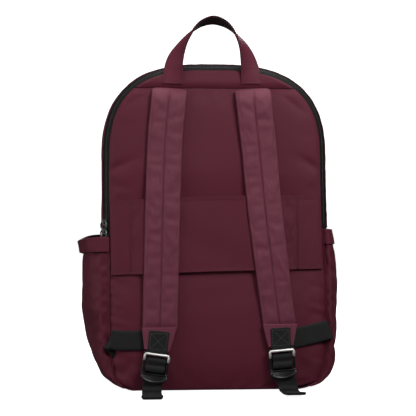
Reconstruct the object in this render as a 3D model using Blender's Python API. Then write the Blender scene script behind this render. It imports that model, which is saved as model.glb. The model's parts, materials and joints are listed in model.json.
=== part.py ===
"""A travel backpack that stands on its base, with its harness side towards -Y.

Metres, +Z up. The origin is the middle of the base, on the surface that it stands on. The body is a
hollow shell of thin panels, joined by a rim that runs round the back panel's edge.
"""

import math

import bmesh
import bpy
from mathutils import Matrix, Vector

# --- driving dimensions ---
GAP = 0.0003  # between pieces that touch
CLOTH = 0.0015  # body fabric
LINING = 0.0008  # lining fabric
WEB_WIDTH = 0.025  # harness webbing
WEB = 0.0016  # its thickness

BACK_Y = -0.078  # outer face of the back panel
FRONT_Y = 0.073  # outer face of the front panel
HALF_WIDTH = 0.134  # from the middle to the back panel's edge
ARCH_Z = 0.290  # where the arch springs
ARCH_RISE = 0.1205
ARCH_POWER = 2.85
BASE_EDGE_Z = 0.002  # bottom of the back panel
CORNER_X = 0.094  # end of the flat base
CORNER_RISE = 0.050
CORNER_POWER = 2.3
YOKE_Z = 0.3875  # seam that holds the strap tops

ZIP_END = {"left": 0.198, "right": 0.209}  # heights where the main zip ends
ZIP_OUT = 0.00385  # coil centre, out from the back panel's edge
ZIP_Y = -0.07345
TAPE_REACH = 0.005  # from the coil centre to a tape's sewn edge
COIL_HALF = 0.0009

SLEEVE_LOW = 0.1535
SLEEVE_HIGH = 0.2465
SLEEVE_PROUD = 0.0070  # trolley sleeve's middle, out from the back panel

STRAP_HINGE = (-0.0797, 0.3865)  # y and z of the seam that a shoulder strap swings on
STRAP_THICK = 0.010
STRAP_Y = -0.0925
TAB_Y = -0.0935
TAB_THICK = 0.003
BAR_RADIUS = 0.0015
HANDLE_HINGE = (-0.0797, 0.4247)

STRAPS = {
    "left": {
        "centre": ((-0.0572, 0.3855), (-0.0610, 0.345), (-0.0636, 0.303), (-0.0660, 0.233), (-0.0673, 0.170),
                   (-0.0685, 0.125), (-0.0694, 0.0775)),
        "widths": (0.046, 0.045),
        "bar": (-0.0730, 0.0507),
    },
    "right": {
        "centre": ((0.0488, 0.3855), (0.0535, 0.345), (0.0572, 0.303), (0.0640, 0.233), (0.0725, 0.170),
                   (0.0780, 0.125), (0.0836, 0.0810)),
        "widths": (0.047, 0.042),
        "bar": (0.0845, 0.0548),
    },
}

# Depth of a side pocket out from the body, at heights from its foot to its mouth.
POCKETS = {
    "left": {"side": -1, "mouth": 0.178, "top": 0.1975, "foot": 0.010, "reach": 0.169, "foot_reach": 0.133},
    "right": {"side": 1, "mouth": 0.187, "top": 0.2070, "foot": 0.010, "reach": 0.161, "foot_reach": 0.133},
}
POCKET_MID_Y = -0.012
POCKET_HALF_Y = 0.054

BURGUNDY = ((0.105, 0.034, 0.047), 0.62, 0.0)
BURGUNDY_LINING = ((0.070, 0.028, 0.036), 0.80, 0.0)
BLACK_WEB = ((0.013, 0.013, 0.014), 0.70, 0.0)
BLACK_ZIP = ((0.016, 0.015, 0.015), 0.55, 0.0)
BLACK_PLASTIC = ((0.014, 0.014, 0.014), 0.38, 0.0)
FOAM = ((0.32, 0.31, 0.29), 0.95, 0.0)
GREY_LINING = ((0.115, 0.115, 0.120), 0.80, 0.0)
BRIGHT_METAL = ((0.68, 0.66, 0.63), 0.22, 1.0)

X = Vector((1, 0, 0))
Y = Vector((0, 1, 0))
Z = Vector((0, 0, 1))


# --- making objects ---
def clear_scene():
    for item in list(bpy.data.objects):
        bpy.data.objects.remove(item, do_unlink=True)


def pivot(name, location):
    """An empty on a joint's axis, which carries the pieces that move with it."""
    empty = bpy.data.objects.new(name, None)
    empty.empty_display_size = 0.02
    empty.location = location
    bpy.context.scene.collection.objects.link(empty)
    return empty


def carry(child, parent):
    """Parents one empty to another without moving it."""
    child.location = child.location - world_place(parent)
    child.parent = parent


def world_place(empty):
    place = Vector(empty.location)
    while empty.parent:
        empty = empty.parent
        place += empty.location
    return place


def add(name, bm, look, carrier=None, closed=True):
    """Makes an object from a mesh in world places, with its origin on its carrier or at its middle."""
    if closed:
        bmesh.ops.recalc_face_normals(bm, faces=bm.faces)
    if carrier is None:
        corners = [v.co for v in bm.verts]
        origin = sum(corners, Vector()) / len(corners)
    else:
        origin = world_place(carrier)
    bmesh.ops.translate(bm, verts=bm.verts, vec=-origin)
    mesh = bpy.data.meshes.new(name)
    bm.to_mesh(mesh)
    bm.free()
    mesh.shade_smooth()
    mesh.set_sharp_from_angle(angle=math.radians(35))
    colour, roughness, metallic = look
    material = bpy.data.materials.new(name)
    material.use_nodes = True
    shader = material.node_tree.nodes["Principled BSDF"]
    shader.inputs["Base Color"].default_value = (*colour, 1)
    shader.inputs["Roughness"].default_value = roughness
    shader.inputs["Metallic"].default_value = metallic
    mesh.materials.append(material)
    made = bpy.data.objects.new(name, mesh)
    if carrier is None:
        made.location = origin
    else:
        made.parent = carrier
    bpy.context.scene.collection.objects.link(made)
    return made


def sweep(name, stations, sections, look, closed=False, carrier=None):
    """A solid through stations, each an origin and two axes, with a closed section at each."""
    bm = bmesh.new()
    rings = []
    for (origin, across, out), section in zip(stations, sections):
        rings.append([bm.verts.new(origin + a * across + b * out) for a, b in section])
    following = rings[1:] + rings[:1] if closed else rings[1:]
    for ring, after in zip(rings, following):
        for i in range(len(ring)):
            j = (i + 1) % len(ring)
            if sections[0][i][0] > sections[0][j][0]:
                i, j = j, i  # facing sides split the same way, so that twisted strips keep their distance
            bm.faces.new((ring[i], ring[j], after[j]))
            bm.faces.new((ring[i], after[j], after[i]))
    if not closed:
        bm.faces.new(rings[0])
        bm.faces.new(rings[-1])
    return add(name, bm, look, carrier)


def plate(name, outline, low, high, look):
    """A flat piece: an outline of x and z, between two depths."""
    stations = [(Vector((0, low, 0)), X, Z), (Vector((0, high, 0)), X, Z)]
    return sweep(name, stations, [outline, outline], look)


def cloth(name, rows, thickness, look, outward=1):
    """A sheet through rows of points, thickened to one side."""
    bm = bmesh.new()
    grid = [[bm.verts.new(point) for point in row] for row in rows]
    for lower, upper in zip(grid, grid[1:]):
        for i in range(len(lower) - 1):
            bm.faces.new((lower[i], lower[i + 1], upper[i + 1], upper[i]))
    made = add(name, bm, look, closed=False)
    solidify = made.modifiers.new("thickness", "SOLIDIFY")
    solidify.thickness = thickness
    solidify.offset = outward
    solidify.use_even_offset = True
    return made


def band(name, centres, across, widths, low, high, look, carrier=None):
    """A flat strip along a line of centres. low and high bound it on the side that it faces."""
    count = len(centres)
    stations = []
    sections = []
    for i, centre in enumerate(centres):
        along = centres[min(i + 1, count - 1)] - centres[max(i - 1, 0)]
        side = across[i] if isinstance(across, list) else across
        out = side.cross(along).normalized()
        half = (widths[i] if isinstance(widths, list) else widths) / 2
        under = low[i] if isinstance(low, list) else low
        over = high[i] if isinstance(high, list) else high
        stations.append((centre, side, out))
        sections.append([(-half, under), (half, under), (half, over), (-half, over)])
    return sweep(name, stations, sections, look, carrier=carrier)


def smooth(points, steps):
    """A Catmull-Rom curve through points of any dimension, with steps to each stretch."""
    ends = [points[0]] + list(points) + [points[-1]]
    curve = []
    for p0, p1, p2, p3 in zip(ends, ends[1:], ends[2:], ends[3:]):
        for k in range(steps):
            t = k / steps
            curve.append(tuple(
                b + 0.5 * t * (c - a + t * (2 * a - 5 * b + 4 * c - d + t * (3 * (b - c) + d - a)))
                for a, b, c, d in zip(p0, p1, p2, p3)))
    return curve + [tuple(points[-1])]


# --- shapes that the panels follow ---
def arc(centre, radii, power, first, last, count):
    """Points of a superellipse between two angles, in degrees."""
    points = []
    for i in range(count + 1):
        turn = math.radians(first + (last - first) * i / count)
        c, s = math.cos(turn), math.sin(turn)
        x = centre[0] + radii[0] * math.copysign(abs(c) ** (2 / power), c)
        z = centre[1] + radii[1] * math.copysign(abs(s) ** (2 / power), s)
        points.append((x, z))
    return points


def corner(side, first, last, inset=0.0):
    radii = (HALF_WIDTH - CORNER_X - inset, CORNER_RISE - inset)
    return arc((side * CORNER_X, BASE_EDGE_Z + CORNER_RISE), radii, CORNER_POWER, first, last, 7)


def arch(first, last, count, inset=0.0):
    return arc((0, ARCH_Z), (HALF_WIDTH - inset, ARCH_RISE - inset), ARCH_POWER, first, last, count)


def outline(inset, low=0.0, high=1.0):
    """The back panel's shape, drawn in by inset and cut off at two heights."""
    half = corner(1, 270, 360, inset) + arch(0, 90, 14, inset)
    kept = []
    for (x0, z0), (x1, z1) in zip(half, half[1:]):
        if z1 <= low or z0 >= high:
            continue
        first = max(0.0, (low - z0) / (z1 - z0)) if z1 > z0 else 0.0
        last = min(1.0, (high - z0) / (z1 - z0)) if z1 > z0 else 1.0
        if not kept:
            kept.append((x0 + (x1 - x0) * first, z0 + (z1 - z0) * first))
        kept.append((x0 + (x1 - x0) * last, z0 + (z1 - z0) * last))
    return kept + [(-x, z) for x, z in reversed(kept) if x > 1e-6]


def rim_stations(points):
    """Stations along the back panel's edge, facing away from the bag, and depth as the other axis."""
    stations = []
    for i, (x, z) in enumerate(points):
        x0, z0 = points[max(i - 1, 0)]
        x1, z1 = points[min(i + 1, len(points) - 1)]
        out = Vector((z1 - z0, 0, x0 - x1)).normalized()
        stations.append((Vector((x, 0, z)), out, Y))
    return stations


def side_stations(side, top):
    """Stations round a bottom corner and up one side. The last run of the base only sets a direction."""
    points = [(0, BASE_EDGE_Z)] + corner(1, 270, 360)
    points += [(HALF_WIDTH, z) for z in (0.085, 0.13, top)]
    stations = rim_stations(points)[1:]
    mirror = Vector((side, 1, 1))
    return [(place * mirror, out * mirror, Y) for place, out, _ in stations]


def thicken(line, thickness, first, last):
    """Closes an open section line with a second line inside it. first and last give its two ends."""
    inner = [first]
    for (a0, b0), (a, b), (a1, b1) in zip(line, line[1:], line[2:]):
        length = math.hypot(a1 - a0, b1 - b0)
        inner.append((a - thickness * (b1 - b0) / length, b + thickness * (a1 - a0) / length))
    inner.append(last)
    return line + inner[::-1]


SIDE_LINE = [(0.0003, -0.0775), (0.0045, -0.0745), (0.0080, -0.0680), (0.0092, -0.0400), (0.0092, 0.0200),
             (0.0075, 0.0480), (0.0020, 0.0640), (-0.0080, 0.0728)]
BASE_LINE = [(0.0003, -0.0775), (0.0015, -0.0760), (0.0020, -0.0730), (0.0020, -0.0400), (0.0020, 0.0200),
             (0.0020, 0.0560), (0.0010, 0.0690), (-0.0080, 0.0728)]
GUSSET_LINE = [(0.0079, -0.0693)] + SIDE_LINE[3:]
BULGE_RISE = 0.060  # the sides reach their full bulge at this height


def rim_section(bulge):
    line = []
    for (a0, b0), (a1, b1) in zip(BASE_LINE, SIDE_LINE):
        line.append((a0 + (a1 - a0) * bulge, b0 + (b1 - b0) * bulge))
    start, end = line[0], line[-1]
    return thicken(line, CLOTH, (start[0], start[1] + CLOTH), (end[0], end[1] - CLOTH))


def bulge_at(z):
    t = min(1.0, max(0.0, (z - BASE_EDGE_Z) / BULGE_RISE))
    return t * t * (3 - 2 * t)


def body_side(z):
    """How far the body's side reaches from the middle at a height."""
    points = corner(1, 270, 360) + [(HALF_WIDTH, ARCH_Z)]
    reach = []
    for origin, out, _ in rim_stations(points):
        bulge = bulge_at(origin.z)
        place = origin + out * (BASE_LINE[3][0] + (SIDE_LINE[3][0] - BASE_LINE[3][0]) * bulge)
        reach.append((place.z, place.x))
    for (z0, x0), (z1, x1) in zip(reach, reach[1:]):
        if z0 <= z <= z1:
            return x0 + (x1 - x0) * (z - z0) / (z1 - z0)
    return reach[-1][1] if z > reach[-1][0] else reach[0][1]


# --- the shell ---
def make_shell():
    plate("back_panel_cover", outline(GAP, high=YOKE_Z - GAP), BACK_Y, BACK_Y + CLOTH, BURGUNDY)
    plate("yoke_panel", outline(GAP, low=YOKE_Z), BACK_Y, BACK_Y + CLOTH, BURGUNDY)
    pad_front = BACK_Y + CLOTH + GAP
    pad_back = pad_front + 0.006
    plate("back_foam_pad", outline(0.009, high=0.380), pad_front, pad_back, FOAM)
    plate("back_lining", outline(0.007), pad_back + GAP, pad_back + GAP + LINING, GREY_LINING)
    plate("front_panel", outline(0.0085), FRONT_Y - CLOTH, FRONT_Y, BURGUNDY)

    left, right = ZIP_END["left"], ZIP_END["right"]
    straight = 3
    up = [(HALF_WIDTH, right + (ARCH_Z - right) * i / straight) for i in range(straight)]
    down = [(-HALF_WIDTH, ARCH_Z + (left - ARCH_Z) * i / straight) for i in range(1, straight + 1)]
    top_path = up + arch(0, 180, 36) + down
    start, end = GUSSET_LINE[0], GUSSET_LINE[-1]
    gusset = thicken(GUSSET_LINE, CLOTH, (start[0] - CLOTH, start[1]), (end[0], end[1] - CLOTH))
    stations = rim_stations(top_path)
    sweep("top_gusset", stations, [gusset] * len(stations), BURGUNDY)

    for side, name in ((-1, "left"), (1, "right")):
        stations = side_stations(side, ZIP_END[name] - GAP)
        sweep(name + "_side_panel", stations, [rim_section(bulge_at(s[0].z)) for s in stations], BURGUNDY)
    base_path = [(-CORNER_X + GAP, BASE_EDGE_Z), (CORNER_X - GAP, BASE_EDGE_Z)]
    sweep("base_panel", rim_stations(base_path), [rim_section(0.0)] * 2, BURGUNDY)
    board = [(-0.088, 0.0018), (0.088, 0.0018), (0.088, 0.0033), (-0.088, 0.0033)]
    plate("base_board", board, -0.062, 0.058, BLACK_PLASTIC)

    make_zip_chain(top_path)
    make_interior()


def zip_section(first, last, low, high):
    """A section of the zip band, which slants from the panel's edge out and back to the gusset."""
    slant = math.sqrt(0.5)
    section = []
    for along, out in ((first, low), (last, low), (last, high), (first, high)):
        section.append((ZIP_OUT + slant * (along + out), ZIP_Y + slant * (along - out)))
    return section


def make_zip_chain(path):
    stations = rim_stations(path)
    tape_inside = COIL_HALF + GAP
    parts = (
        ("zip_tape_inner", zip_section(-TAPE_REACH, -tape_inside, -0.0003, 0.0003)),
        ("zip_tape_outer", zip_section(tape_inside, TAPE_REACH, -0.0003, 0.0003)),
        ("zip_coil", zip_section(-COIL_HALF, COIL_HALF, -COIL_HALF, COIL_HALF)),
    )
    for name, section in parts:
        sweep(name, stations, [section] * len(stations), BLACK_ZIP)


def make_interior():
    """The loose lining round the rim, and the padded laptop sleeve behind the back panel."""
    depth = (-0.0685, 0.0660)
    half = corner(1, 270, 360, 0.0025) + arch(0, 90, 12, 0.0025)
    loop = half + [(-x, z) for x, z in reversed(half) if x > 1e-6]
    closed = loop[-1:] + loop + loop[:1]
    stations = rim_stations(closed)[1:-1]
    section = [(0, depth[0]), (0, depth[1]), (-LINING, depth[1]), (-LINING, depth[0])]
    sweep("interior_lining", stations, [section] * len(stations), GREY_LINING, closed=True)

    half_width, sewn_y, face_y, pad = 0.112, -0.0680, -0.0420, 0.004
    section = [(-half_width, sewn_y), (-half_width, face_y), (half_width, face_y), (half_width, sewn_y),
               (half_width - pad, sewn_y), (half_width - pad, face_y - pad),
               (-half_width + pad, face_y - pad), (-half_width + pad, sewn_y)]
    stations = [(Vector((0, 0, 0.012)), X, Y), (Vector((0, 0, 0.285)), X, Y)]
    sweep("laptop_sleeve", stations, [section] * 2, GREY_LINING)


# --- side pockets ---
def pocket_line(pocket, reach, z, inset=0.0, count=14):
    """The plan of a pocket at one height: a flattened half loop out from the body's side."""
    inside = body_side(z) + 0.0009
    reach = max(reach, inside + 0.003) - inset
    points = []
    for i in range(count + 1):
        turn = math.pi * (i / count - 0.5)
        c, s = math.cos(turn), math.sin(turn)
        x = inside + (reach - inside) * abs(c) ** 0.7
        points.append(Vector((pocket["side"] * x, POCKET_MID_Y + (POCKET_HALF_Y - inset) * s, z)))
    return points


def make_pocket(name, pocket):
    foot, mouth = pocket["foot"], pocket["mouth"]
    rows = []
    for t in (0, 0.06, 0.14, 0.26, 0.42, 0.62, 0.82, 1.0):
        z = foot + (mouth - GAP - foot) * t
        swell = (1 - (1 - t) ** 3) ** 0.8
        reach = pocket["foot_reach"] + (pocket["reach"] - pocket["foot_reach"]) * swell
        rows.append(pocket_line(pocket, reach, z))
    facing = -1 if pocket["side"] < 0 else 1
    cloth(name + "_pocket_panel", rows, CLOTH, BURGUNDY, facing)
    hem = [pocket_line(pocket, pocket["reach"], z) for z in (mouth, pocket["top"])]
    cloth(name + "_pocket_hem", hem, 0.0022, BURGUNDY, facing)
    inside = [pocket_line(pocket, pocket["reach"], z, 0.0022) for z in (mouth + 0.001, pocket["top"])]
    cloth(name + "_pocket_elastic", inside, 0.0010, BLACK_WEB, facing)


# --- trolley sleeve and handle ---
def make_trolley_sleeve():
    sewn = BACK_Y - GAP - CLOTH / 2
    proud = BACK_Y - SLEEVE_PROUD
    half = ((0.1325, sewn), (0.106, sewn), (0.096, (sewn + proud) / 2), (0.086, proud))
    line = [(-x, y) for x, y in half] + [(x, y) for x, y in reversed(half)]
    middle = (SLEEVE_LOW + SLEEVE_HIGH) / 2
    centres = [Vector((x, y, middle)) for x, y in line]
    height = SLEEVE_HIGH - SLEEVE_LOW
    band("trolley_sleeve", centres, Z, height, -CLOTH / 2, CLOTH / 2, BURGUNDY)


HANDLE_HALF = ((0.0495, 0.4247), (0.0495, 0.4290), (0.0470, 0.4365), (0.0415, 0.4450), (0.0350, 0.4530),
               (0.0265, 0.4620), (0.0145, 0.4715), (0.0, 0.4762))
HANDLE_TWIST = (0, 5, 25, 55, 85, 95, 102, 105)  # degrees, so that the strip turns edge on and then lies flat at the top
HANDLE_SHIFT = -0.0020  # the loop's middle, left of the bag's middle


def make_handle():
    for side, x in (("left", -0.0515), ("right", 0.0470)):
        foot = [Vector((x, HANDLE_HINGE[0], z)) for z in (0.3930, 0.4225)]
        band("handle_foot_" + side, foot, X, WEB_WIDTH, -0.0014, 0.0014, BURGUNDY)
    hinge = pivot("handle_pivot", (0, *HANDLE_HINGE))
    half = smooth([(-x, z, twist) for (x, z), twist in zip(HANDLE_HALF, HANDLE_TWIST)], 2)
    places = half + [(-x, z, twist) for x, z, twist in reversed(half[:-1])]
    centres = [Vector((x + HANDLE_SHIFT, HANDLE_HINGE[0], z)) for x, z, _ in places]
    across = []
    for i, (_, _, twist) in enumerate(places):
        along = centres[min(i + 1, len(centres) - 1)] - centres[max(i - 1, 0)]
        flat = Vector((along.z, 0, -along.x)).normalized()
        turn = math.radians(twist)
        across.append(flat * math.cos(turn) - Y * math.sin(turn))
    band("handle_loop", centres, across, WEB_WIDTH, 0.00015, 0.0017, BURGUNDY, hinge)
    band("handle_lining", centres, across, WEB_WIDTH - 0.001, -0.0013, -0.00015, BLACK_WEB, hinge)


# --- shoulder straps ---
def strap_cover_section(width, thick):
    half, face, cut, skin = width / 2, thick / 2, 0.22 * thick, 0.0012
    edge = -face + 0.0013
    outer = [(-half, edge), (-half, face - cut), (-half + cut, face), (half - cut, face), (half, face - cut),
             (half, edge)]
    cut /= 2
    inner = [(half - skin, edge), (half - skin, face - skin - cut), (half - skin - cut, face - skin),
             (-half + skin + cut, face - skin), (-half + skin, face - skin - cut), (-half + skin, edge)]
    return outer + inner


def box_section(half, low, high):
    return [(-half, low), (half, low), (half, high), (-half, high)]


def make_strap(side, strap):
    hinge = pivot(side + "_strap_pivot", (0, *STRAP_HINGE))
    top, end = strap["centre"][0], strap["centre"][-1]
    stations, widths, thicks = [], [], []
    heights = [0.3855, 0.378, 0.369, 0.358, 0.340, 0.315, 0.285, 0.250, 0.215, 0.180, 0.145, 0.110, end[1]]
    for z in heights:
        x = line_at(strap["centre"], z)
        t = (top[1] - z) / (top[1] - end[1])
        rise = min(1.0, (top[1] - z) / 0.032)
        y = STRAP_HINGE[0] - 0.0022 + (STRAP_Y - STRAP_HINGE[0] + 0.0022) * rise ** 0.75
        stations.append(Vector((x, y, z)))
        widths.append(strap["widths"][0] + (strap["widths"][1] - strap["widths"][0]) * t)
        thicks.append(0.0035 + (STRAP_THICK - 0.0035) * rise)
    frames = []
    for i, centre in enumerate(stations):
        along = stations[min(i + 1, len(stations) - 1)] - stations[max(i - 1, 0)]
        frames.append((centre, -X, (-X).cross(along).normalized()))
    covers = [strap_cover_section(w, t) for w, t in zip(widths, thicks)]
    backings = [box_section(w / 2 - 0.0005, -t / 2, -t / 2 + 0.0010) for w, t in zip(widths, thicks)]
    fills = [box_section(w / 2 - 0.0023, -t / 2 + 0.0013, t / 2 - 0.0019) for w, t in zip(widths, thicks)]
    sweep(side + "_strap_cover", frames, covers, BURGUNDY, carrier=hinge)
    sweep(side + "_strap_backing", frames, backings, BURGUNDY_LINING, carrier=hinge)
    sweep(side + "_strap_foam", frames[2:], fills[2:], FOAM, carrier=hinge)

    bar_x, bar_z = strap["bar"]
    tab = [(Vector((end[0], TAB_Y, end[1] - GAP)), X, Y),
           (Vector((bar_x, TAB_Y, bar_z + BAR_RADIUS + 0.0014)), X, Y)]
    ends = [box_section(half, -TAB_THICK / 2, TAB_THICK / 2) for half in (0.0225, 0.0165)]
    sweep(side + "_end_tab", tab, ends, BURGUNDY, carrier=hinge)
    round_bar = (TAB_THICK + WEB) / 2 + GAP
    middle = (end[0] + bar_x) / 2
    loop = [Vector((middle, TAB_Y - round_bar, end[1] - GAP))]
    for i in range(9):
        turn = math.pi * i / 8
        loop.append(Vector((bar_x, TAB_Y - round_bar * math.cos(turn), bar_z - round_bar * math.sin(turn))))
    loop.append(Vector((middle, TAB_Y + round_bar, end[1] - GAP)))
    band(side + "_strap_webbing_loop", loop, -X, WEB_WIDTH, -WEB / 2, WEB / 2, BLACK_WEB, hinge)
    make_buckle(side, bar_x, bar_z, hinge)
    make_anchor_webbing(side, bar_x, bar_z)


def line_at(line, z):
    """The x of a line of x and z points at a height."""
    for (x0, z0), (x1, z1) in zip(line, line[1:]):
        if z0 >= z >= z1:
            return x0 + (x1 - x0) * (z0 - z) / (z0 - z1)
    return line[-1][0]


# --- buckles and webbing ---
BUCKLE_HALF = 0.0165
SLOT_HALF = 0.0135
BUCKLE_FRONT = TAB_Y - 0.0027
BUCKLE_BACK = TAB_Y + 0.0027
# Heights below the metal bar's centre.
FRAME_TOP = 0.0075
SLOTS = ((0.0117, 0.0182), (0.0222, 0.0264))


def box_between(name, low, high):
    bm = bmesh.new()
    bmesh.ops.create_cube(bm, size=1)
    size = Vector(high) - Vector(low)
    middle = (Vector(high) + Vector(low)) / 2
    bmesh.ops.transform(bm, matrix=Matrix.Translation(middle) @ Matrix.Diagonal((*size, 1)), verts=bm.verts)
    return add(name, bm, BLACK_PLASTIC)


def make_buckle(side, bar_x, bar_z, strap_hinge):
    """A ladder-lock: a plastic frame with two rungs and a thumb tab, hung on a bright metal bar."""
    hinge = pivot(side + "_buckle_pivot", (bar_x, TAB_Y, bar_z))
    carry(hinge, strap_hinge)
    profile = [(BUCKLE_BACK, FRAME_TOP), (BUCKLE_FRONT, FRAME_TOP), (BUCKLE_FRONT, 0.0245),
               (TAB_Y - 0.0070, 0.0367), (TAB_Y - 0.0050, 0.0372), (TAB_Y - 0.0005, 0.0267),
               (BUCKLE_BACK, 0.0257)]
    section = [(y, bar_z - drop) for y, drop in profile]
    stations = [(X * (bar_x + s * BUCKLE_HALF), Y, Z) for s in (-1, 1)]
    frame = sweep(side + "_ladder_lock", stations, [section] * 2, BLACK_PLASTIC, carrier=hinge)
    for i, (upper, lower) in enumerate(SLOTS):
        low = (bar_x - SLOT_HALF, TAB_Y - 0.02, bar_z - lower)
        high = (bar_x + SLOT_HALF, TAB_Y + 0.02, bar_z - upper)
        cutter = box_between(f"{side}_slot_cutter_{i}", low, high)
        cutter.hide_render = True
        cutter.display_type = "WIRE"
        cut = frame.modifiers.new(f"slot_{i}", "BOOLEAN")
        cut.operation = "DIFFERENCE"
        cut.solver = "EXACT"
        cut.object = cutter
    make_bar(side, bar_x, bar_z, hinge)
    make_tail(side, bar_x, bar_z, hinge)


def make_bar(side, bar_x, bar_z, hinge):
    """The bar's two short legs stand on the plastic frame."""
    leg = BUCKLE_HALF - BAR_RADIUS
    foot = bar_z - FRAME_TOP + GAP
    bend = 0.0025
    path = [(-leg, foot), (-leg, bar_z - bend)]
    path += [(-leg + bend * 0.3, bar_z - bend * 0.3), (-leg + bend, bar_z)]
    path += [(-x, z) for x, z in reversed(path)]
    stations, sections = [], []
    for i, (x, z) in enumerate(path):
        x0, z0 = path[max(i - 1, 0)]
        x1, z1 = path[min(i + 1, len(path) - 1)]
        out = Vector((z0 - z1, 0, x1 - x0)).normalized()
        stations.append((Vector((bar_x + x, TAB_Y, z)), Y, out))
        sections.append([(BAR_RADIUS * math.cos(k * math.pi / 4), BAR_RADIUS * math.sin(k * math.pi / 4))
                         for k in range(8)])
    sweep(side + "_buckle_bar", stations, sections, BRIGHT_METAL, carrier=hinge)


def make_tail(side, bar_x, bar_z, hinge):
    """Webbing over the two rungs, back through the lower slot, and down on to the ground."""
    wrap = WEB / 2 + GAP
    front, back = BUCKLE_FRONT - wrap, BUCKLE_BACK + wrap
    top = bar_z - FRAME_TOP
    rung = bar_z - SLOTS[1][0]
    path = [(back, bar_z - 0.0132), (back, top), (back - 0.3 * wrap, top + 0.7 * wrap), (BUCKLE_BACK, top + wrap),
            (BUCKLE_FRONT, top + wrap), (front + 0.3 * wrap, top + 0.7 * wrap), (front, top),
            (front, bar_z - 0.0110), (front + 0.0007, bar_z - 0.0150), (front, bar_z - 0.0185), (front, rung),
            (front + 0.3 * wrap, rung - 0.8 * wrap), (BUCKLE_FRONT + 0.0004, rung - 1.35 * wrap),
            (TAB_Y + 0.0010, rung - 0.0023), (BUCKLE_BACK, rung - 0.0033), (back - 0.0002, rung - 0.0047),
            (back + 0.0002, rung - 0.0070)]
    floor, bend = 0.0016, 0.0085
    centre_y = back + 0.0002 - bend
    for i in range(7):
        turn = math.pi / 2 * i / 6
        path.append((centre_y + bend * math.cos(turn), floor + bend - bend * math.sin(turn)))
    path += [(-0.118, floor), (-0.1335, floor), (-0.1340, floor), (-0.1475, floor)]
    count = len(path)
    over = [WEB / 2] * (count - 2) + [1.5 * WEB] * 2
    centres = [Vector((bar_x, y, z)) for y, z in path]
    widths = [WEB_WIDTH] * (count - 2) + [WEB_WIDTH + 0.001] * 2
    band(side + "_webbing_tail", centres, -X, widths, -WEB / 2, over, BLACK_WEB, hinge)


def make_anchor_webbing(side, bar_x, bar_z):
    """Webbing from the side seam, behind the end tab, down and up into the back of the buckle."""
    s = 1 if bar_x > 0 else -1
    reach = abs(bar_x)
    high = bar_z + 0.0165
    turn_radius = 0.0140
    path = [((0.1330, -0.0803, high - 0.004), Z), ((0.1240, -0.0825, high - 0.0022), Z),
            ((0.1120, -0.0850, high - 0.0008), Z), ((reach + turn_radius, -0.0862, high), Z)]
    for i in range(1, 6):
        turn = math.pi / 2 * i / 5
        x = reach + turn_radius * (1 - math.sin(turn))
        z = high - turn_radius * (1 - math.cos(turn))
        path.append(((x, -0.0862 + 0.0027 * i / 5, z), Z * math.cos(turn) - s * X * math.sin(turn)))
    low, down, up = 0.0165, -0.0835, -0.0868
    back = BUCKLE_BACK + WEB / 2 + GAP
    drop = [(down, low + 0.01), (down, low)]
    drop += [((down + up) / 2 + (down - up) / 2 * math.cos(math.pi * i / 4),
              low - (down - up) / 2 * math.sin(math.pi * i / 4)) for i in range(1, 4)]
    drop += [(up, low), (up, bar_z - 0.0245), (back, bar_z - 0.0170), (back, bar_z - 0.0135)]
    path += [((reach, y, z), -s * X) for y, z in drop]
    centres = [Vector((s * x, y, z)) for (x, y, z), _ in path]
    band(side + "_anchor_webbing", centres, [a for _, a in path], WEB_WIDTH, -WEB / 2, WEB / 2, BLACK_WEB)


# --- zip sliders ---
# Hole of a slider's bridge, and the metal round it: along the zip and out from the coil.
HOLE = ((2.0, 0), (1.4, 0.9), (0, 1.25), (-1.4, 0.9), (-2.0, 0), (-1.4, -1.0), (0, -1.25), (1.4, -1.0))
METAL = ((2.9, 0.2), (2.1, 1.6), (0, 2.2), (-2.1, 1.6), (-3.2, 0.2), (-6.2, -2.7), (0, -2.7), (2.9, -2.7))
METAL_HALF = (0.9, 0.9, 0.9, 0.9, 0.9, 3.4, 3.4, 3.4)
HOLE_OUT = 0.0040  # from the coil's centre
PULL_RADIUS = 0.0033
PULL_WIRE = 0.0007


def make_slider(name, place, along, out, carrier):
    """A slider on the outside of the coil, with a ring through its bridge. place is the hole's centre."""
    across = along.cross(out)
    stations, sections = [], []
    for (h0, h1), (m0, m1), half in zip(HOLE, METAL, METAL_HALF):
        inner = place + (along * h0 + out * h1) / 1000
        outer = place + (along * m0 + out * m1) / 1000
        stations.append((inner, across, (outer - inner).normalized()))
        sections.append(box_section(half / 1000, 0, (outer - inner).length))
    sweep(name, stations, sections, BLACK_ZIP, closed=True, carrier=carrier)


def make_pull(name, place, along, out, carrier):
    """A ring that hangs back along the zip from the bridge."""
    hinge = pivot(name + "_pivot", place)
    carry(hinge, carrier)
    across = along.cross(out)
    centre = place - along * PULL_RADIUS
    stations, sections = [], []
    for i in range(14):
        turn = math.tau * i / 14
        radial = along * math.cos(turn) + across * math.sin(turn)
        stations.append((centre + radial * PULL_RADIUS, radial, out))
        sections.append([(PULL_WIRE * math.cos(k * math.tau / 6), PULL_WIRE * math.sin(k * math.tau / 6))
                         for k in range(6)])
    sweep(name, stations, sections, BLACK_ZIP, closed=True, carrier=hinge)


def make_main_sliders():
    slant = math.sqrt(0.5)
    out = Vector((-slant, -slant, 0))
    coil = Vector((-HALF_WIDTH - ZIP_OUT, ZIP_Y, 0))
    lower_hole, upper_hole = 0.2062, 0.2168
    lower = pivot("lower_slider_track", coil + Z * lower_hole)
    upper = pivot("upper_slider_track", coil + Z * upper_hole)
    carry(upper, lower)
    for name, carrier, z in (("lower", lower, lower_hole), ("upper", upper, upper_hole)):
        hole = coil + out * HOLE_OUT + Z * z
        make_slider(name + "_zip_slider", hole, Z, out, carrier)
        make_pull(name + "_zip_pull", hole, Z, out, carrier)


# --- front pocket ---
FRONT_ZIP_Z = 0.2360
FRONT_HALF = 0.112
FRONT_PROUD = 0.011


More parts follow.
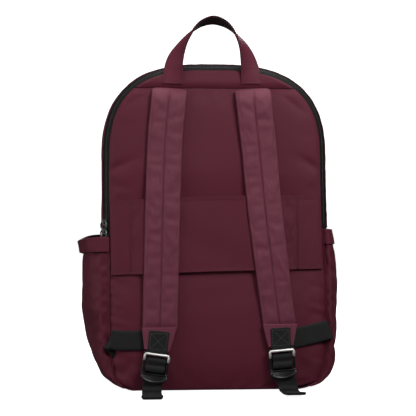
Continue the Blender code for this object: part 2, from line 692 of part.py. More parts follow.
def make_front_pocket():
    lift = FRONT_Y + GAP
    low, high = 0.022, FRONT_ZIP_Z
    rows = []
    for j in range(9):
        t = j / 8
        z = low + (high - low) * t
        fullness = (1 - (1 - t) ** 5) * (1 - 0.62 * t ** 6)
        row = []
        for i in range(15):
            x = FRONT_HALF * math.sin(math.pi * (i / 14 - 0.5))
            edge = (1 - abs(x / FRONT_HALF) ** 4) ** 0.5
            row.append(Vector((x, lift + FRONT_PROUD * fullness * edge, z)))
        rows.append(row)
    cloth("front_pocket_panel", rows, 0.0012, BURGUNDY, -1)
    slant = math.sqrt(0.5)
    out = Vector((0, slant, slant))
    up = Vector((0, -slant, slant))
    length = FRONT_HALF - 0.016
    middle = Vector((0, lift + 0.0042, FRONT_ZIP_Z + 0.0038))
    for name, reach, low, high in (("front_zip_tape", 0.0040, -0.0005, 0.0),
                                   ("front_zip_coil", 0.0010, GAP, 0.0017)):
        stations = [(middle + X * s * length, up, out) for s in (-1, 1)]
        sweep(name, stations, [box_section(reach, low, high)] * 2, BLACK_ZIP)
    hole = middle - X * (length - 0.006) + out * (HOLE_OUT + 0.0010)
    track = pivot("front_slider_track", hole)
    make_slider("front_zip_slider", hole, -X, out, track)
    make_pull("front_zip_pull", hole, -X, out, track)


clear_scene()
make_shell()
make_trolley_sleeve()
make_handle()
for pocket_name, pocket_size in POCKETS.items():
    make_pocket(pocket_name, pocket_size)
for strap_name, strap_size in STRAPS.items():
    make_strap(strap_name, strap_size)
make_main_sliders()
make_front_pocket()
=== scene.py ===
import json
import math

import bmesh
import bpy
import numpy as np
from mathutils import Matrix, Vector
from mathutils.bvhtree import BVHTree


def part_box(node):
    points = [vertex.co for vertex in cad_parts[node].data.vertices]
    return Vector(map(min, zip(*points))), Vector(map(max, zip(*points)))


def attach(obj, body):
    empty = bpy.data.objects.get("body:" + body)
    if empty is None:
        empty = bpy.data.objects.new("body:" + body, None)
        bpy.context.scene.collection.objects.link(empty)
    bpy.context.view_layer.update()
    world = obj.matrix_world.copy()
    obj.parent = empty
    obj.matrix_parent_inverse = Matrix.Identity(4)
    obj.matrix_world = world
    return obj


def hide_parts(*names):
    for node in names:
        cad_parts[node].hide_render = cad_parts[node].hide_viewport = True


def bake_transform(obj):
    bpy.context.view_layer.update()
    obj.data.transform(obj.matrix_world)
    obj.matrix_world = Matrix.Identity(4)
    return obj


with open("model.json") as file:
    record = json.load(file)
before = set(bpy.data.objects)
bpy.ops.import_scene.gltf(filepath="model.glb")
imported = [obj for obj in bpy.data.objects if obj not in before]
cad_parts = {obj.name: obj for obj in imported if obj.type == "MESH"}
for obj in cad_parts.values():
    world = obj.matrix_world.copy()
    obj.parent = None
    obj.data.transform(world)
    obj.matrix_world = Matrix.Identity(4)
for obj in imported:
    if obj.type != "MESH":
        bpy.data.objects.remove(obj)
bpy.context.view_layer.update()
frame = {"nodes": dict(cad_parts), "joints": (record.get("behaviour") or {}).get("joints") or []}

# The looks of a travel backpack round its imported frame. Metres, +Z up, harness side towards -Y.
# Places come from the frame's boxes; the named values below only shape the cloth between them.

# --- places read from the frame ---
GAP = 0.0003
back_low, back_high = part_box("back_panel_cover")
BACK_Y = back_low.y
YOKE_Z = back_high.z
SEAM_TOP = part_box("yoke_panel")[1].z
FRONT_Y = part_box("front_panel")[1].y
ZIP_LEFT_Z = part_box("left_side_panel")[1].z
ZIP_RIGHT_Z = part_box("right_side_panel")[1].z
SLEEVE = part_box("trolley_sleeve")
WEB_WIDTH = 0.025
WEB = 0.0016

# --- how the cloth lies ---
ARCH_Z = 0.290
ARCH_POWER = 2.85
EDGE_LEFT = ((0.0028, 0.104), (0.0060, 0.1145), (0.017, 0.1240), (0.049, 0.1302), (0.096, 0.1326),
             (0.150, 0.1322), (0.200, 0.1330), (0.250, 0.1336), (ARCH_Z, 0.1336))  # height, half width
EDGE_RIGHT = ((0.0028, 0.110), (0.0060, 0.1220), (0.017, 0.1365), (0.049, 0.1430), (0.105, 0.1436),
              (0.153, 0.1415), (0.209, 0.1390), (0.250, 0.1376), (ARCH_Z, 0.1368))
TO_BAG = np.array([0, 1.0, 0])  # the way one looks at the harness side
CLOTH_STEP = 0.0045  # grid spacing of the body's cloth


# --- lines and grids ---
def unit(vectors):
    return vectors / np.linalg.norm(vectors, axis=-1, keepdims=True)


def tangents(line):
    return unit(np.gradient(line, axis=0))


def lengths(line):
    """How far along a line each of its points is."""
    return np.concatenate([[0], np.cumsum(np.linalg.norm(np.diff(line, axis=0), axis=1))])


def curve(points, step):
    """A Catmull-Rom curve through points, resampled to an even spacing."""
    p = np.array(points, float)
    p = np.vstack([2 * p[0] - p[1], p, 2 * p[-1] - p[-2]])
    t = np.linspace(0, 1, 24, endpoint=False)[:, None]
    runs = []
    for a, b, c, d in zip(p, p[1:], p[2:], p[3:]):
        runs.append(b + 0.5 * t * (c - a + t * (2 * a - 5 * b + 4 * c - d + t * (3 * (b - c) + d - a))))
    return even(np.vstack(runs + [p[-2][None]]), step)


def even(line, step):
    """The line again with points an even distance apart."""
    line = np.asarray(line, float)
    along = lengths(line)
    count = max(2, int(round(along[-1] / step)) + 1)
    at = np.linspace(0, along[-1], count)
    return np.stack([np.interp(at, along, line[:, k]) for k in range(line.shape[1])], axis=1)


def smoothstep(low, high, value):
    """0 at low and 1 at high, with level ends; low may be the larger one."""
    t = np.clip((np.asarray(value, float) - low) / (high - low), 0, 1)
    return t * t * (3 - 2 * t)


def ripple(seed, *waves):
    """A smooth field without a pattern: a sum of slanted waves with phases drawn from a seed."""
    draw = np.random.default_rng(seed)
    total = 0
    for field, wavelength in waves:
        for k in range(5):
            phase, bend, size = draw.uniform(0, math.tau), draw.uniform(0.6, 1.5), draw.uniform(0.4, 1)
            total = total + size * np.sin(math.tau * bend * field / wavelength + phase)
    return total / (3.2 * len(waves) ** 0.5)


def link(obj):
    bpy.context.scene.collection.objects.link(obj)
    return obj


def grid_piece(name, points, around=False):
    """A sheet of quads through a grid of points, with texture coordinates in metres."""
    rows, columns = points.shape[:2]
    loop = columns if around else columns - 1
    across = np.linalg.norm(np.diff(points, axis=1, append=points[:, :1]), axis=2)
    u = np.concatenate([np.zeros((rows, 1)), np.cumsum(across, axis=1)], axis=1)
    u = np.broadcast_to(u.mean(axis=0), u.shape)
    v = lengths(points.mean(axis=1))
    faces, coords = [], []
    for j in range(rows - 1):
        for i in range(loop):
            k = (i + 1) % columns
            faces.append((j * columns + i, j * columns + k, (j + 1) * columns + k, (j + 1) * columns + i))
            for jj, ii in ((j, i), (j, i + 1), (j + 1, i + 1), (j + 1, i)):
                coords.append((u[jj, ii], v[jj]))
    mesh = bpy.data.meshes.new(name)
    mesh.from_pydata(points.reshape(-1, 3).tolist(), [], faces)
    layer = mesh.uv_layers.new(name="metres")
    layer.data.foreach_set("uv", np.array(coords, np.float32).ravel())
    mesh.update()
    return link(bpy.data.objects.new(name, mesh))


def apply_modifiers(obj):
    bpy.context.view_layer.update()
    evaluated = obj.evaluated_get(bpy.context.evaluated_depsgraph_get())
    mesh = bpy.data.meshes.new_from_object(evaluated)
    mesh.name = obj.name
    obj.modifiers.clear()
    obj.data = mesh
    return obj


def refine(obj, levels=1):
    modifier = obj.modifiers.new("fine", "SUBSURF")
    modifier.levels = modifier.render_levels = levels
    modifier.boundary_smooth = "PRESERVE_CORNERS"
    return apply_modifiers(obj)


def thicken(obj, thickness, offset=-1.0):
    modifier = obj.modifiers.new("cloth", "SOLIDIFY")
    modifier.thickness = thickness
    modifier.offset = offset
    return apply_modifiers(obj)


def positions(obj):
    co = np.zeros(len(obj.data.vertices) * 3, np.float32)
    obj.data.vertices.foreach_get("co", co)
    return co.reshape(-1, 3).astype(float)


def move_to(obj, points):
    obj.data.vertices.foreach_set("co", points.astype(np.float32).ravel())
    obj.data.update()


def done(obj, body, material, slot, *nodes):
    """Gives a finished mesh its material and its body, and hides the CAD nodes that it stands for."""
    obj.data.materials.clear()
    obj.data.materials.append(material)
    obj.data.shade_smooth()
    obj.data.set_sharp_from_angle(angle=math.radians(50))
    if body:
        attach(obj, body)
    if nodes:
        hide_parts(*nodes)
    return obj


def ribbon(name, line, across, width, thickness, columns=9, corner=0.35):
    """A closed strip of webbing with rounded edges, along a line, with its width along across."""
    line = np.asarray(line, float)
    across = np.broadcast_to(np.asarray(across, float), line.shape)
    along = tangents(line)
    side = unit(across - (across * along).sum(1)[:, None] * along)
    out = np.cross(side, along)
    width = np.broadcast_to(width, (len(line),))[:, None]
    thickness = np.broadcast_to(thickness, (len(line),))[:, None]
    half = np.concatenate([np.linspace(-1, 1, columns), np.linspace(1, -1, columns)])
    face = np.repeat([1.0, -1.0], columns)
    face = face * np.where(np.abs(half) > 0.99, corner, 1.0)
    rings = (line[:, None] + side[:, None] * (width * half / 2)[..., None]
             + out[:, None] * (thickness * face / 2)[..., None])
    piece = grid_piece(name, rings, around=True)
    cap_ends(piece, len(line), 2 * columns)
    return piece


def cap_ends(piece, rows, columns):
    """Closes a tube's two ends."""
    bm = bmesh.new()
    bm.from_mesh(piece.data)
    bm.verts.ensure_lookup_table()
    bm.faces.new([bm.verts[i] for i in range(columns)][::-1])
    bm.faces.new([bm.verts[(rows - 1) * columns + i] for i in range(columns)])
    bmesh.ops.recalc_face_normals(bm, faces=bm.faces)
    bm.to_mesh(piece.data)
    bm.free()


# --- cloth simulation ---
SETTLE_FRAMES = 20
STIFFNESS = 12.0


def settle(obj, held, pressure, excess, cap):
    """Lets cloth find its folds, held where held is 1, and keeps them, no further than cap from the start."""
    start = positions(obj)
    group = obj.vertex_groups.new(name="held")
    for i, weight in enumerate(held):
        if weight > 0:
            group.add([i], float(weight), "REPLACE")
    modifier = obj.modifiers.new("settle", "CLOTH")
    cloth = modifier.settings
    cloth.quality = 6
    cloth.mass = 0.15
    cloth.tension_stiffness = cloth.compression_stiffness = STIFFNESS
    cloth.shear_stiffness = STIFFNESS / 2
    cloth.bending_stiffness = 0.4
    cloth.air_damping = 2
    cloth.vertex_group_mass = "held"
    cloth.use_pressure = True
    cloth.uniform_pressure_force = pressure
    cloth.shrink_min = -excess
    cloth.effector_weights.gravity = 0
    modifier.collision_settings.use_collision = False
    modifier.point_cache.frame_start = 1
    modifier.point_cache.frame_end = SETTLE_FRAMES
    scene = bpy.context.scene
    for number in range(1, SETTLE_FRAMES + 1):
        scene.frame_set(number)
    moved = positions(obj.evaluated_get(bpy.context.evaluated_depsgraph_get()))
    obj.modifiers.remove(modifier)
    obj.vertex_groups.remove(group)
    scene.frame_set(1)
    shift = np.nan_to_num(moved - start)
    size = np.linalg.norm(shift, axis=1)[:, None]
    move_to(obj, start + shift * cap * np.tanh(size / cap) / np.maximum(size, 1e-9))
    return obj


# --- materials ---
class Shader:
    """A Principled material with short calls for the nodes that feed it."""

    def __init__(self, name, colour, roughness, **values):
        self.material = bpy.data.materials.new(name)
        self.material.use_nodes = True
        self.tree = self.material.node_tree
        self.bsdf = self.tree.nodes["Principled BSDF"]
        self.set(self.bsdf, "Base Color", (*colour, 1))
        self.set(self.bsdf, "Roughness", roughness)
        for key, value in values.items():
            self.set(self.bsdf, key.replace("_", " "), value)
        self.colour = colour

    def set(self, node, socket, value):
        node.inputs[socket].default_value = value

    def node(self, kind, **properties):
        made = self.tree.nodes.new(kind)
        for key, value in properties.items():
            setattr(made, key, value)
        return made

    def wire(self, source, target):
        self.tree.links.new(source, target)

    def coordinates(self, kind="Object"):
        if kind == "metres":
            return self.node("ShaderNodeUVMap", uv_map="metres").outputs["UV"]
        return self.node("ShaderNodeTexCoord").outputs[kind]

    def scaled(self, vector, size):
        mapping = self.node("ShaderNodeMapping")
        self.set(mapping, "Scale", size)
        self.wire(vector, mapping.inputs["Vector"])
        return mapping.outputs["Vector"]

    def noise(self, vector, scale, detail=3.0):
        made = self.node("ShaderNodeTexNoise")
        self.set(made, "Scale", scale)
        self.set(made, "Detail", detail)
        self.set(made, "Roughness", 0.55)
        self.wire(vector, made.inputs["Vector"])
        return made.outputs["Fac"]

    def wave(self, vector, direction, pitch):
        """Ridges of one period per pitch, in metres. Blender's wave has a period of 2 pi / 20 at scale 1."""
        made = self.node("ShaderNodeTexWave", wave_type="BANDS", bands_direction=direction)
        self.set(made, "Scale", math.tau / 20 / pitch)
        self.wire(vector, made.inputs["Vector"])
        return made.outputs["Fac"]

    def math(self, operation, a, b):
        made = self.node("ShaderNodeMath", operation=operation)
        for socket, value in zip(made.inputs, (a, b)):
            if isinstance(value, (int, float)):
                socket.default_value = value
            else:
                self.wire(value, socket)
        return made.outputs[0]

    def tint(self, factor, dark, light):
        """Base colour between two multiples of the material's colour."""
        made = self.node("ShaderNodeMix", data_type="RGBA")
        made.inputs["A"].default_value = (*[c * dark for c in self.colour], 1)
        made.inputs["B"].default_value = (*[c * light for c in self.colour], 1)
        self.set(made, "Factor", 0.5)
        self.wire(factor, made.inputs["Factor"])
        self.wire(made.outputs["Result"], self.bsdf.inputs["Base Color"])

    def rough(self, factor, low, high):
        """Roughness from low to high as the factor goes from 0 to 1."""
        made = self.node("ShaderNodeMapRange")
        self.set(made, "To Min", low)
        self.set(made, "To Max", high)
        self.wire(factor, made.inputs["Value"])
        self.wire(made.outputs["Result"], self.bsdf.inputs["Roughness"])

    def bump(self, height, distance, strength=1.0):
        made = self.node("ShaderNodeBump")
        self.set(made, "Strength", strength)
        self.set(made, "Distance", distance)
        self.wire(height, made.inputs["Height"])
        self.wire(made.outputs["Normal"], self.bsdf.inputs["Normal"])


def woven(name, colour, pitch=0.00042, roughness=0.58, gloss=0.24, depth=0.00007):
    """Smooth filament cloth: a fine plain weave, a few slubs and slow changes of tone."""
    s = Shader(name, colour, roughness, Specular_IOR_Level=gloss)
    place = s.coordinates()
    flat = s.coordinates("metres")
    warp = s.wave(flat, "X", pitch)
    weft = s.wave(flat, "Y", pitch * 1.12)
    threads = s.math("MULTIPLY", warp, weft)
    slow = s.noise(place, 14.0, 2.0)
    slub = s.noise(s.scaled(flat, (260, 2600, 1)), 1.0, 2.0)
    tone = s.math("ADD", s.math("MULTIPLY", slow, 0.55), s.math("MULTIPLY", slub, 0.30))
    tone = s.math("ADD", tone, s.math("MULTIPLY", threads, 0.25))
    s.tint(tone, 0.80, 1.18)
    s.rough(slow, roughness - 0.07, roughness + 0.06)
    height = s.math("ADD", threads, s.math("MULTIPLY", slub, 0.5))
    s.bump(height, depth)
    return s.material


def webbing(name, colour):
    """Woven webbing: lengthwise ribs with a herringbone of short picks across them."""
    s = Shader(name, colour, 0.50, Sheen_Weight=0.02, Specular_IOR_Level=0.24)
    flat = s.coordinates("metres")
    ribs = s.wave(flat, "X", 0.00125)
    picks = s.wave(s.scaled(flat, (0.35, 1, 1)), "DIAGONAL", 0.00078)
    height = s.math("ADD", s.math("MULTIPLY", ribs, 0.7), s.math("MULTIPLY", picks, 0.45))
    fuzz = s.noise(s.coordinates(), 900.0, 2.0)
    s.tint(s.math("ADD", s.math("MULTIPLY", height, 0.6), s.math("MULTIPLY", fuzz, 0.4)), 0.55, 1.75)
    s.rough(height, 0.72, 0.5)
    s.bump(height, 0.00022)
    return s.material


def moulded_plastic(name, colour, roughness=0.36):
    s = Shader(name, colour, roughness, Specular_IOR_Level=0.35)
    place = s.coordinates()
    grain = s.noise(place, 2600.0, 3.0)
    wear = s.noise(place, 160.0, 4.0)
    s.tint(wear, 0.8, 1.35)
    s.rough(wear, roughness - 0.06, roughness + 0.10)
    s.bump(grain, 0.00003, 0.6)
    return s.material


def metal(name, colour, roughness):
    s = Shader(name, colour, roughness, Metallic=0.75)
    place = s.coordinates()
    brushed = s.noise(s.scaled(place, (300, 2500, 2500)), 1.0, 3.0)
    s.tint(brushed, 0.86, 1.05)
    s.rough(brushed, roughness - 0.05, roughness + 0.10)
    s.bump(brushed, 0.00001, 0.5)
    return s.material


def lacquer(name, colour):
    s = Shader(name, colour, 0.30, Specular_IOR_Level=0.9, Coat_Weight=0.8, Coat_Roughness=0.15)
    place = s.coordinates()
    wear = s.noise(place, 420.0, 4.0)
    s.tint(wear, 0.8, 1.6)
    s.rough(wear, 0.24, 0.42)
    return s.material


def tape_cloth(name, colour):
    """Knitted zip tape: fine wales along the zip."""
    s = Shader(name, colour, 0.6, Specular_IOR_Level=0.2)
    flat = s.coordinates("metres")
    wales = s.wave(flat, "X", 0.0006)
    courses = s.wave(flat, "Y", 0.0009)
    height = s.math("MULTIPLY", wales, courses)
    s.tint(height, 0.6, 1.5)
    s.bump(height, 0.00012)
    return s.material


def thread(name, colour):
    s = Shader(name, colour, 0.5, Specular_IOR_Level=0.25)
    twist = s.wave(s.coordinates(), "DIAGONAL", 0.0005)
    s.tint(twist, 0.75, 1.2)
    s.bump(twist, 0.00008)
    return s.material


def foam_skin(name, colour):
    s = Shader(name, colour, 0.92)
    cells = s.noise(s.coordinates(), 1500.0, 2.0)
    s.tint(cells, 0.8, 1.1)
    s.bump(cells, 0.0002)
    return s.material


SHELL = woven("shell_cloth", (0.103, 0.0115, 0.0265))
# The straps' cloth is the shell's burgundy made lighter and greyer: painted highlight, the straps' sheen put
# into the colour.
STRAP_CLOTH = woven("strap_cloth", (0.150, 0.0330, 0.0570))
# The sleeve's cloth is the shell's burgundy made slightly darker: painted shade on the lower back.
SLEEVE_CLOTH = woven("sleeve_cloth", (0.100, 0.0112, 0.0258))
HANDLE_CLOTH = woven("handle_cloth", (0.118, 0.0210, 0.0370), 0.0005, roughness=0.60, gloss=0.15, depth=0.00002)
LINING = woven("lining_cloth", (0.115, 0.115, 0.120), pitch=0.0006, roughness=0.7)
WEBBING = webbing("black_webbing", (0.0085, 0.0085, 0.0090))
HANDLE_BLACK = webbing("handle_black", (0.0028, 0.0028, 0.0024))
ZIP_TAPE = tape_cloth("zip_tape", (0.0090, 0.0085, 0.0082))
COIL = moulded_plastic("zip_coil", (0.0100, 0.0096, 0.0094), 0.42)
PLASTIC = moulded_plastic("buckle_plastic", (0.0065, 0.0065, 0.0068), 0.30)
BOARD = moulded_plastic("base_board_plastic", (0.02, 0.02, 0.02), 0.5)
BRIGHT = metal("bright_bar", (0.95, 0.93, 0.89), 0.45)
BLACK_METAL = lacquer("black_lacquer", (0.034, 0.033, 0.032))
# The burgundy thread is darker than the shell cloth; its darkness is partly painted shade of the sunken stitch
# lines.
BURGUNDY_THREAD = thread("burgundy_thread", (0.060, 0.012, 0.020))
BLACK_THREAD = thread("black_thread", (0.075, 0.075, 0.078))
FOAM = foam_skin("pad_foam", (0.32, 0.31, 0.29))


# --- the panel's edge and what runs round it ---
def edge_loop():
    """The back panel's edge: along the base, up the right side, over the arch and down to the start."""
    left = curve([(-x, z) for z, x in EDGE_LEFT], 0.003)
    right = curve([(x, z) for z, x in EDGE_RIGHT], 0.003)
    turn = np.linspace(0, math.pi, 160)[1:-1]
    c, s = np.cos(turn), np.sin(turn)
    reach = np.where(c > 0, EDGE_RIGHT[-1][1], EDGE_LEFT[-1][1])
    arch = np.stack([reach * np.sign(c) * np.abs(c) ** (2 / ARCH_POWER),
                     ARCH_Z + (SEAM_TOP - ARCH_Z) * s ** (2 / ARCH_POWER)], axis=1)
    base = np.linspace(left[0], right[0], 40)[1:-1]
    return np.vstack([base, right, arch, left[::-1]])


LOOP = even(np.vstack([edge_loop(), edge_loop()[:1]]), CLOTH_STEP)


def outward(line):
    along = tangents(line)
    return np.stack([along[:, 1], -along[:, 0]], axis=1)


LOOP_OUT = outward(np.vstack([LOOP[-4:-1], LOOP, LOOP[1:4]]))[3:-3]


def edge_x(side, z, line=LOOP):
    """The panel edge's distance from the middle at heights, on one side."""
    half = line[line[:, 0] * side > 0]
    half = half[np.argsort(half[:, 1])]
    return np.interp(z, half[:, 1], half[:, 0] * side)


def run(first_z, last_z, side):
    """Indices of the loop's stations up one side between two heights, the base's left out."""
    inside = (LOOP[:, 0] * side > 0.100) & (LOOP[:, 1] >= first_z) & (LOOP[:, 1] <= last_z)
    return np.nonzero(inside)[0]


def beside(line, out, offsets, depths):
    """Rows of points along a line in the plane of the back, at offsets out from it and at depths."""
    x = line[:, :1] + out[:, :1] * offsets
    return np.stack([x, np.broadcast_to(depths, x.shape), line[:, 1:] + out[:, 1:] * offsets], axis=2)


def rim_profile(*points):
    """A band's section, from the back panel to the front: distances out from the edge, and depths."""
    line = curve(points, CLOTH_STEP)
    share, old = np.linspace(0, 1, 34), np.linspace(0, 1, len(line))
    return np.interp(share, old, line[:, 0]), np.interp(share, old, line[:, 1])


SIDE_PROFILE = rim_profile((0.0002, -0.0772), (0.0035, -0.0755), (0.0068, -0.0715), (0.0084, -0.0640),
                           (0.0096, -0.0400), (0.0100, -0.0050), (0.0092, 0.0260), (0.0068, 0.0490),
                           (0.0016, 0.0640), (-0.0078, 0.0722))
BASE_PROFILE = rim_profile((0.0002, -0.0772), (0.0009, -0.0762), (0.0014, -0.0730), (0.0016, -0.0640),
                           (0.0016, -0.0400), (0.0016, -0.0050), (0.0016, 0.0260), (0.0016, 0.0520),
                           (0.0004, 0.0670), (-0.0078, 0.0722))
GUSSET_PROFILE = rim_profile((0.0079, -0.0692), (0.0086, -0.0560), (0.0088, -0.0300), (0.0086, 0.0000),
                             (0.0078, 0.0280), (0.0056, 0.0500), (0.0010, 0.0640), (-0.0078, 0.0722))


def side_profile(indices):
    """The lower rim: full at the sides, and flat where it is the base."""
    (side, side_depth), (base, base_depth) = SIDE_PROFILE, BASE_PROFILE
    full = smoothstep(0.002, 0.062, LOOP[indices, 1])[:, None]
    spare = np.where(LOOP[indices, 0] > 0, 0.55, 1.0)[:, None]  # the right seam is further out already
    offsets = base * (1 - full) + side * full * np.where(side > 0, spare, 1.0)
    return offsets, base_depth * (1 - full) + side_depth * full


def edge_weights(rows, columns, border=1):
    """1 on the border of a grid and 0 inside."""
    held = np.zeros((rows, columns))
    held[:border] = held[-border:] = 1
    held[:, :border] = held[:, -border:] = 1
    return held.ravel()


def normals_of(points):
    """Unit normals of a grid of points."""
    n = np.cross(np.gradient(points, axis=1), np.gradient(points, axis=0))
    return n / np.maximum(np.linalg.norm(n, axis=2), 1e-12)[..., None]


def sewn(piece, node, offset=-1.0, thickness=0.0010):
    """Finishes a panel of the bag: finer, as thick as its cloth, and in the shell's material."""
    refine(piece)
    thicken(piece, thickness, offset)
    return done(piece, "root", SHELL, "shell_fabric", node)


def make_rim():
    """Top gusset, side panels and base: one band of cloth each, round the back panel's edge."""
    top = zip_indices()
    corner_right = run(-1, ZIP_RIGHT_Z, 1)
    corner_left = run(-1, ZIP_LEFT_Z, -1)
    corner_left = np.arange(corner_left[corner_left > top[-1] - 2][0], len(LOOP))
    base = np.arange(0, corner_right[0] + 1)
    parts = (("top_gusset_cloth", top, "top_gusset"), ("right_side_cloth", corner_right, "right_side_panel"),
             ("left_side_cloth", corner_left, "left_side_panel"), ("base_cloth", base, "base_panel"))
    for name, indices, node in parts:
        profile = GUSSET_PROFILE if node == "top_gusset" else side_profile(indices)
        points = beside(LOOP[indices], LOOP_OUT[indices], *profile)
        rows, columns = points.shape[:2]
        along = lengths(points[:, columns // 2])[:, None]
        depth = points[..., 1]
        inner = np.sin(np.pi * np.linspace(0, 1, columns))[None] ** 0.7
        ends = np.minimum(1, np.minimum(along, along[-1] - along) / 0.03)
        amount = 0.0 if node == "base_panel" else 0.0011
        swell = ripple(len(name), (along + 0.4 * depth, 0.16), (along - 0.8 * depth, 0.11))
        swell = swell * amount * inner * ends
        if amount:
            near_seam = np.exp(-np.abs(depth - depth[:, :1]) / 0.010)
            swell = swell + ripple(len(name) + 1, (along, 0.016)) * 0.00035 * near_seam
        points = points - normals_of(points) * swell[..., None]
        piece = grid_piece(name, points)
        if amount:
            settle(piece, edge_weights(rows, columns), 0.15, 0.010, 0.0014)
        sewn(piece, node, 1.0)


# --- back panel ---
def panel_grid(low, high, step):
    """Rows of points across the back panel between two heights, with its full width at each."""
    z = even(np.array([[low, 0.0], [high, 0.0]]), step)[:, 0]
    if high >= SEAM_TOP - 0.001:
        z = low + (high - low) * np.sin(np.linspace(0, np.pi / 2, len(z) + 4)) ** 0.9
        z[-1] -= 0.00015
    columns = int(0.27 / step) | 1
    u = np.linspace(-1, 1, columns)[None]
    x = np.where(u < 0, u * edge_x(-1, z)[:, None], u * edge_x(1, z)[:, None])
    return x, np.broadcast_to(z[:, None], x.shape).copy(), np.broadcast_to(u, x.shape)


def dent(x, z, place, length, width, turn, depth):
    """A soft crease: a long shallow hollow, turned by an angle in degrees from +X."""
    c, s = math.cos(math.radians(turn)), math.sin(math.radians(turn))
    along = (x - place[0]) * c + (z - place[1]) * s
    over = -(x - place[0]) * s + (z - place[1]) * c
    return depth * np.exp(-(along / length) ** 2 - (over / width) ** 2)


BACK_CREASES = (((-0.122, 0.287), 0.020, 0.0038, 24, 0.0026), ((0.127, 0.288), 0.017, 0.0036, 148, 0.0024),
                ((-0.118, 0.262), 0.014, 0.0050, -10, 0.0009), ((0.0, 0.118), 0.060, 0.012, 3, 0.0010),
                ((-0.110, 0.030), 0.030, 0.007, 35, 0.0016), ((0.118, 0.028), 0.030, 0.007, 145, 0.0016))


def make_back_panel():
    x, z, u = panel_grid(0.0030, YOKE_Z - 0.0004, CLOTH_STEP)
    border = np.minimum(1 - np.abs(u), 1) * 0.135
    border = np.minimum(border, np.minimum(z - 0.002, YOKE_Z - z))
    crown = 0.0022 * (1 - np.exp(-border / 0.0035)) + 0.0028 * (1 - np.exp(-border / 0.024))
    low_sides = (1 - smoothstep(0.17, 0.21, z)) * smoothstep(0.01, 0.03, z)
    crown = crown - 0.0016 * np.exp(-border / 0.0016) * low_sides
    under_sleeve = smoothstep(0.11, 0.16, z) * (1 - smoothstep(0.235, 0.285, z))
    crown *= 1 - 0.75 * under_sleeve
    for crease in BACK_CREASES:
        crown -= dent(x, z, *crease)
    near_seam = np.exp(-(1 - np.abs(u)) * 0.135 / 0.012)
    pucker = ripple(7, (z + 0.3 * x, 0.016)) * 0.0020 * near_seam * (1 - smoothstep(0.15, 0.22, z))
    soft = ripple(11, (x + 0.6 * z, 0.21), (z - 0.5 * x, 0.15)) * 0.0007 * np.minimum(border / 0.03, 1)
    points = np.stack([x, BACK_Y - crown - pucker - soft, z], axis=2)
    piece = grid_piece("back_panel_cloth", points)
    settle(piece, edge_weights(*x.shape), 0.6, 0.006, 0.0022)
    sewn(piece, "back_panel_cover")

    x, z, u = panel_grid(YOKE_Z + 0.0004, SEAM_TOP, 0.004)
    border = np.minimum((1 - np.abs(u)) * 0.1, np.minimum(z - YOKE_Z, SEAM_TOP - z))
    flatter = 1 - 0.4 * smoothstep(0.004, 0.02, z - YOKE_Z)
    crown = 0.0030 * (1 - np.exp(-np.maximum(border, 0) / 0.003)) * flatter
    crown += ripple(3, (x, 0.03)) * 0.0002 * (border > 0)
    sewn(grid_piece("yoke_cloth", np.stack([x, BACK_Y - crown, z], axis=2)), "yoke_panel")


# --- zip ---
ZIP_SLANT = math.sqrt(0.5)  # the zip's band slants by 45 degrees
COIL_OUT = 0.00385
COIL_Y = -0.07345
COIL_PITCH = 0.0014
COIL_SIDES = 10
TAPE_THICKNESS = 0.0005


def zip_indices():
    left = run(-1, ZIP_LEFT_Z, -1)
    return np.arange(run(-1, ZIP_RIGHT_Z, 1)[-1], left[left > len(LOOP) // 2][0] + 1)


def zip_line(step):
    """The coil's centre line and the direction out from the edge, evenly spaced."""
    indices = zip_indices()
    centre = even(LOOP[indices] + LOOP_OUT[indices] * COIL_OUT, step)
    return centre, outward(centre)


def zip_points(centre, out, along, lift):
    """Points beside the coil: along the slanting band, and lifted off it."""
    return beside(centre, out, ZIP_SLANT * (along + lift), COIL_Y + ZIP_SLANT * (along - lift))


def coil_section(steps):
    """The coil as a toothed tube: how far its points lie across it and above it, five steps to a tooth."""
    turn = np.linspace(0, math.tau, COIL_SIDES, endpoint=False)[None]
    side = np.cos(turn)
    tooth = 0.5 + 0.5 * np.cos(math.tau * steps / 5 + np.where(side > 0, 0, math.pi))
    across = (0.00085 + 0.00045 * tooth * np.abs(side) ** 0.5) * side
    return across, (0.00062 + 0.00028 * tooth) * np.sin(turn)


def make_zip():
    centre, out = zip_line(0.004)
    for name, first, last, node in (("zip_tape_inside", -0.0050, -0.0008, "zip_tape_inner"),
                                    ("zip_tape_outside", 0.0008, 0.0050, "zip_tape_outer")):
        along = np.linspace(first, last, 6)
        lift = -0.0003 + 0.0004 * np.sin(np.linspace(0, np.pi, 6))
        piece = grid_piece(name, zip_points(centre, out, along, lift))
        thicken(piece, TAPE_THICKNESS, 0.0)
        done(piece, "root", ZIP_TAPE, "zip_tape", node)
    centre, out = zip_line(COIL_PITCH / 5)
    points = zip_points(centre, out, *coil_section(np.arange(len(centre))[:, None]))
    piece = grid_piece("zip_coil_chain", points, around=True)
    cap_ends(piece, len(centre), COIL_SIDES)
    done(piece, "root", COIL, "zip_tape", "zip_coil")
    for name, index in (("zip_end_left", -1), ("zip_end_right", 0)):
        inward = -1 if index else 1
        along = np.linspace(-0.0046, 0.0046, 9)
        rows = []
        for t in np.linspace(-0.0015, 0.0052, 6):
            place = centre[index] + np.array([0, inward * t])
            rows.append(zip_points(place[None], out[index][None], along, 0.0014 - 0.175 * np.abs(along))[0])
        piece = grid_piece(name, np.array(rows))
        thicken(piece, 0.0007, 0.0)
        refine(piece)
        done(piece, "root", ZIP_TAPE, "zip_tape")


# --- stitches ---
def point_at(line, total, distance):
    return np.array([np.interp(distance, total, line[:, k]) for k in range(3)])


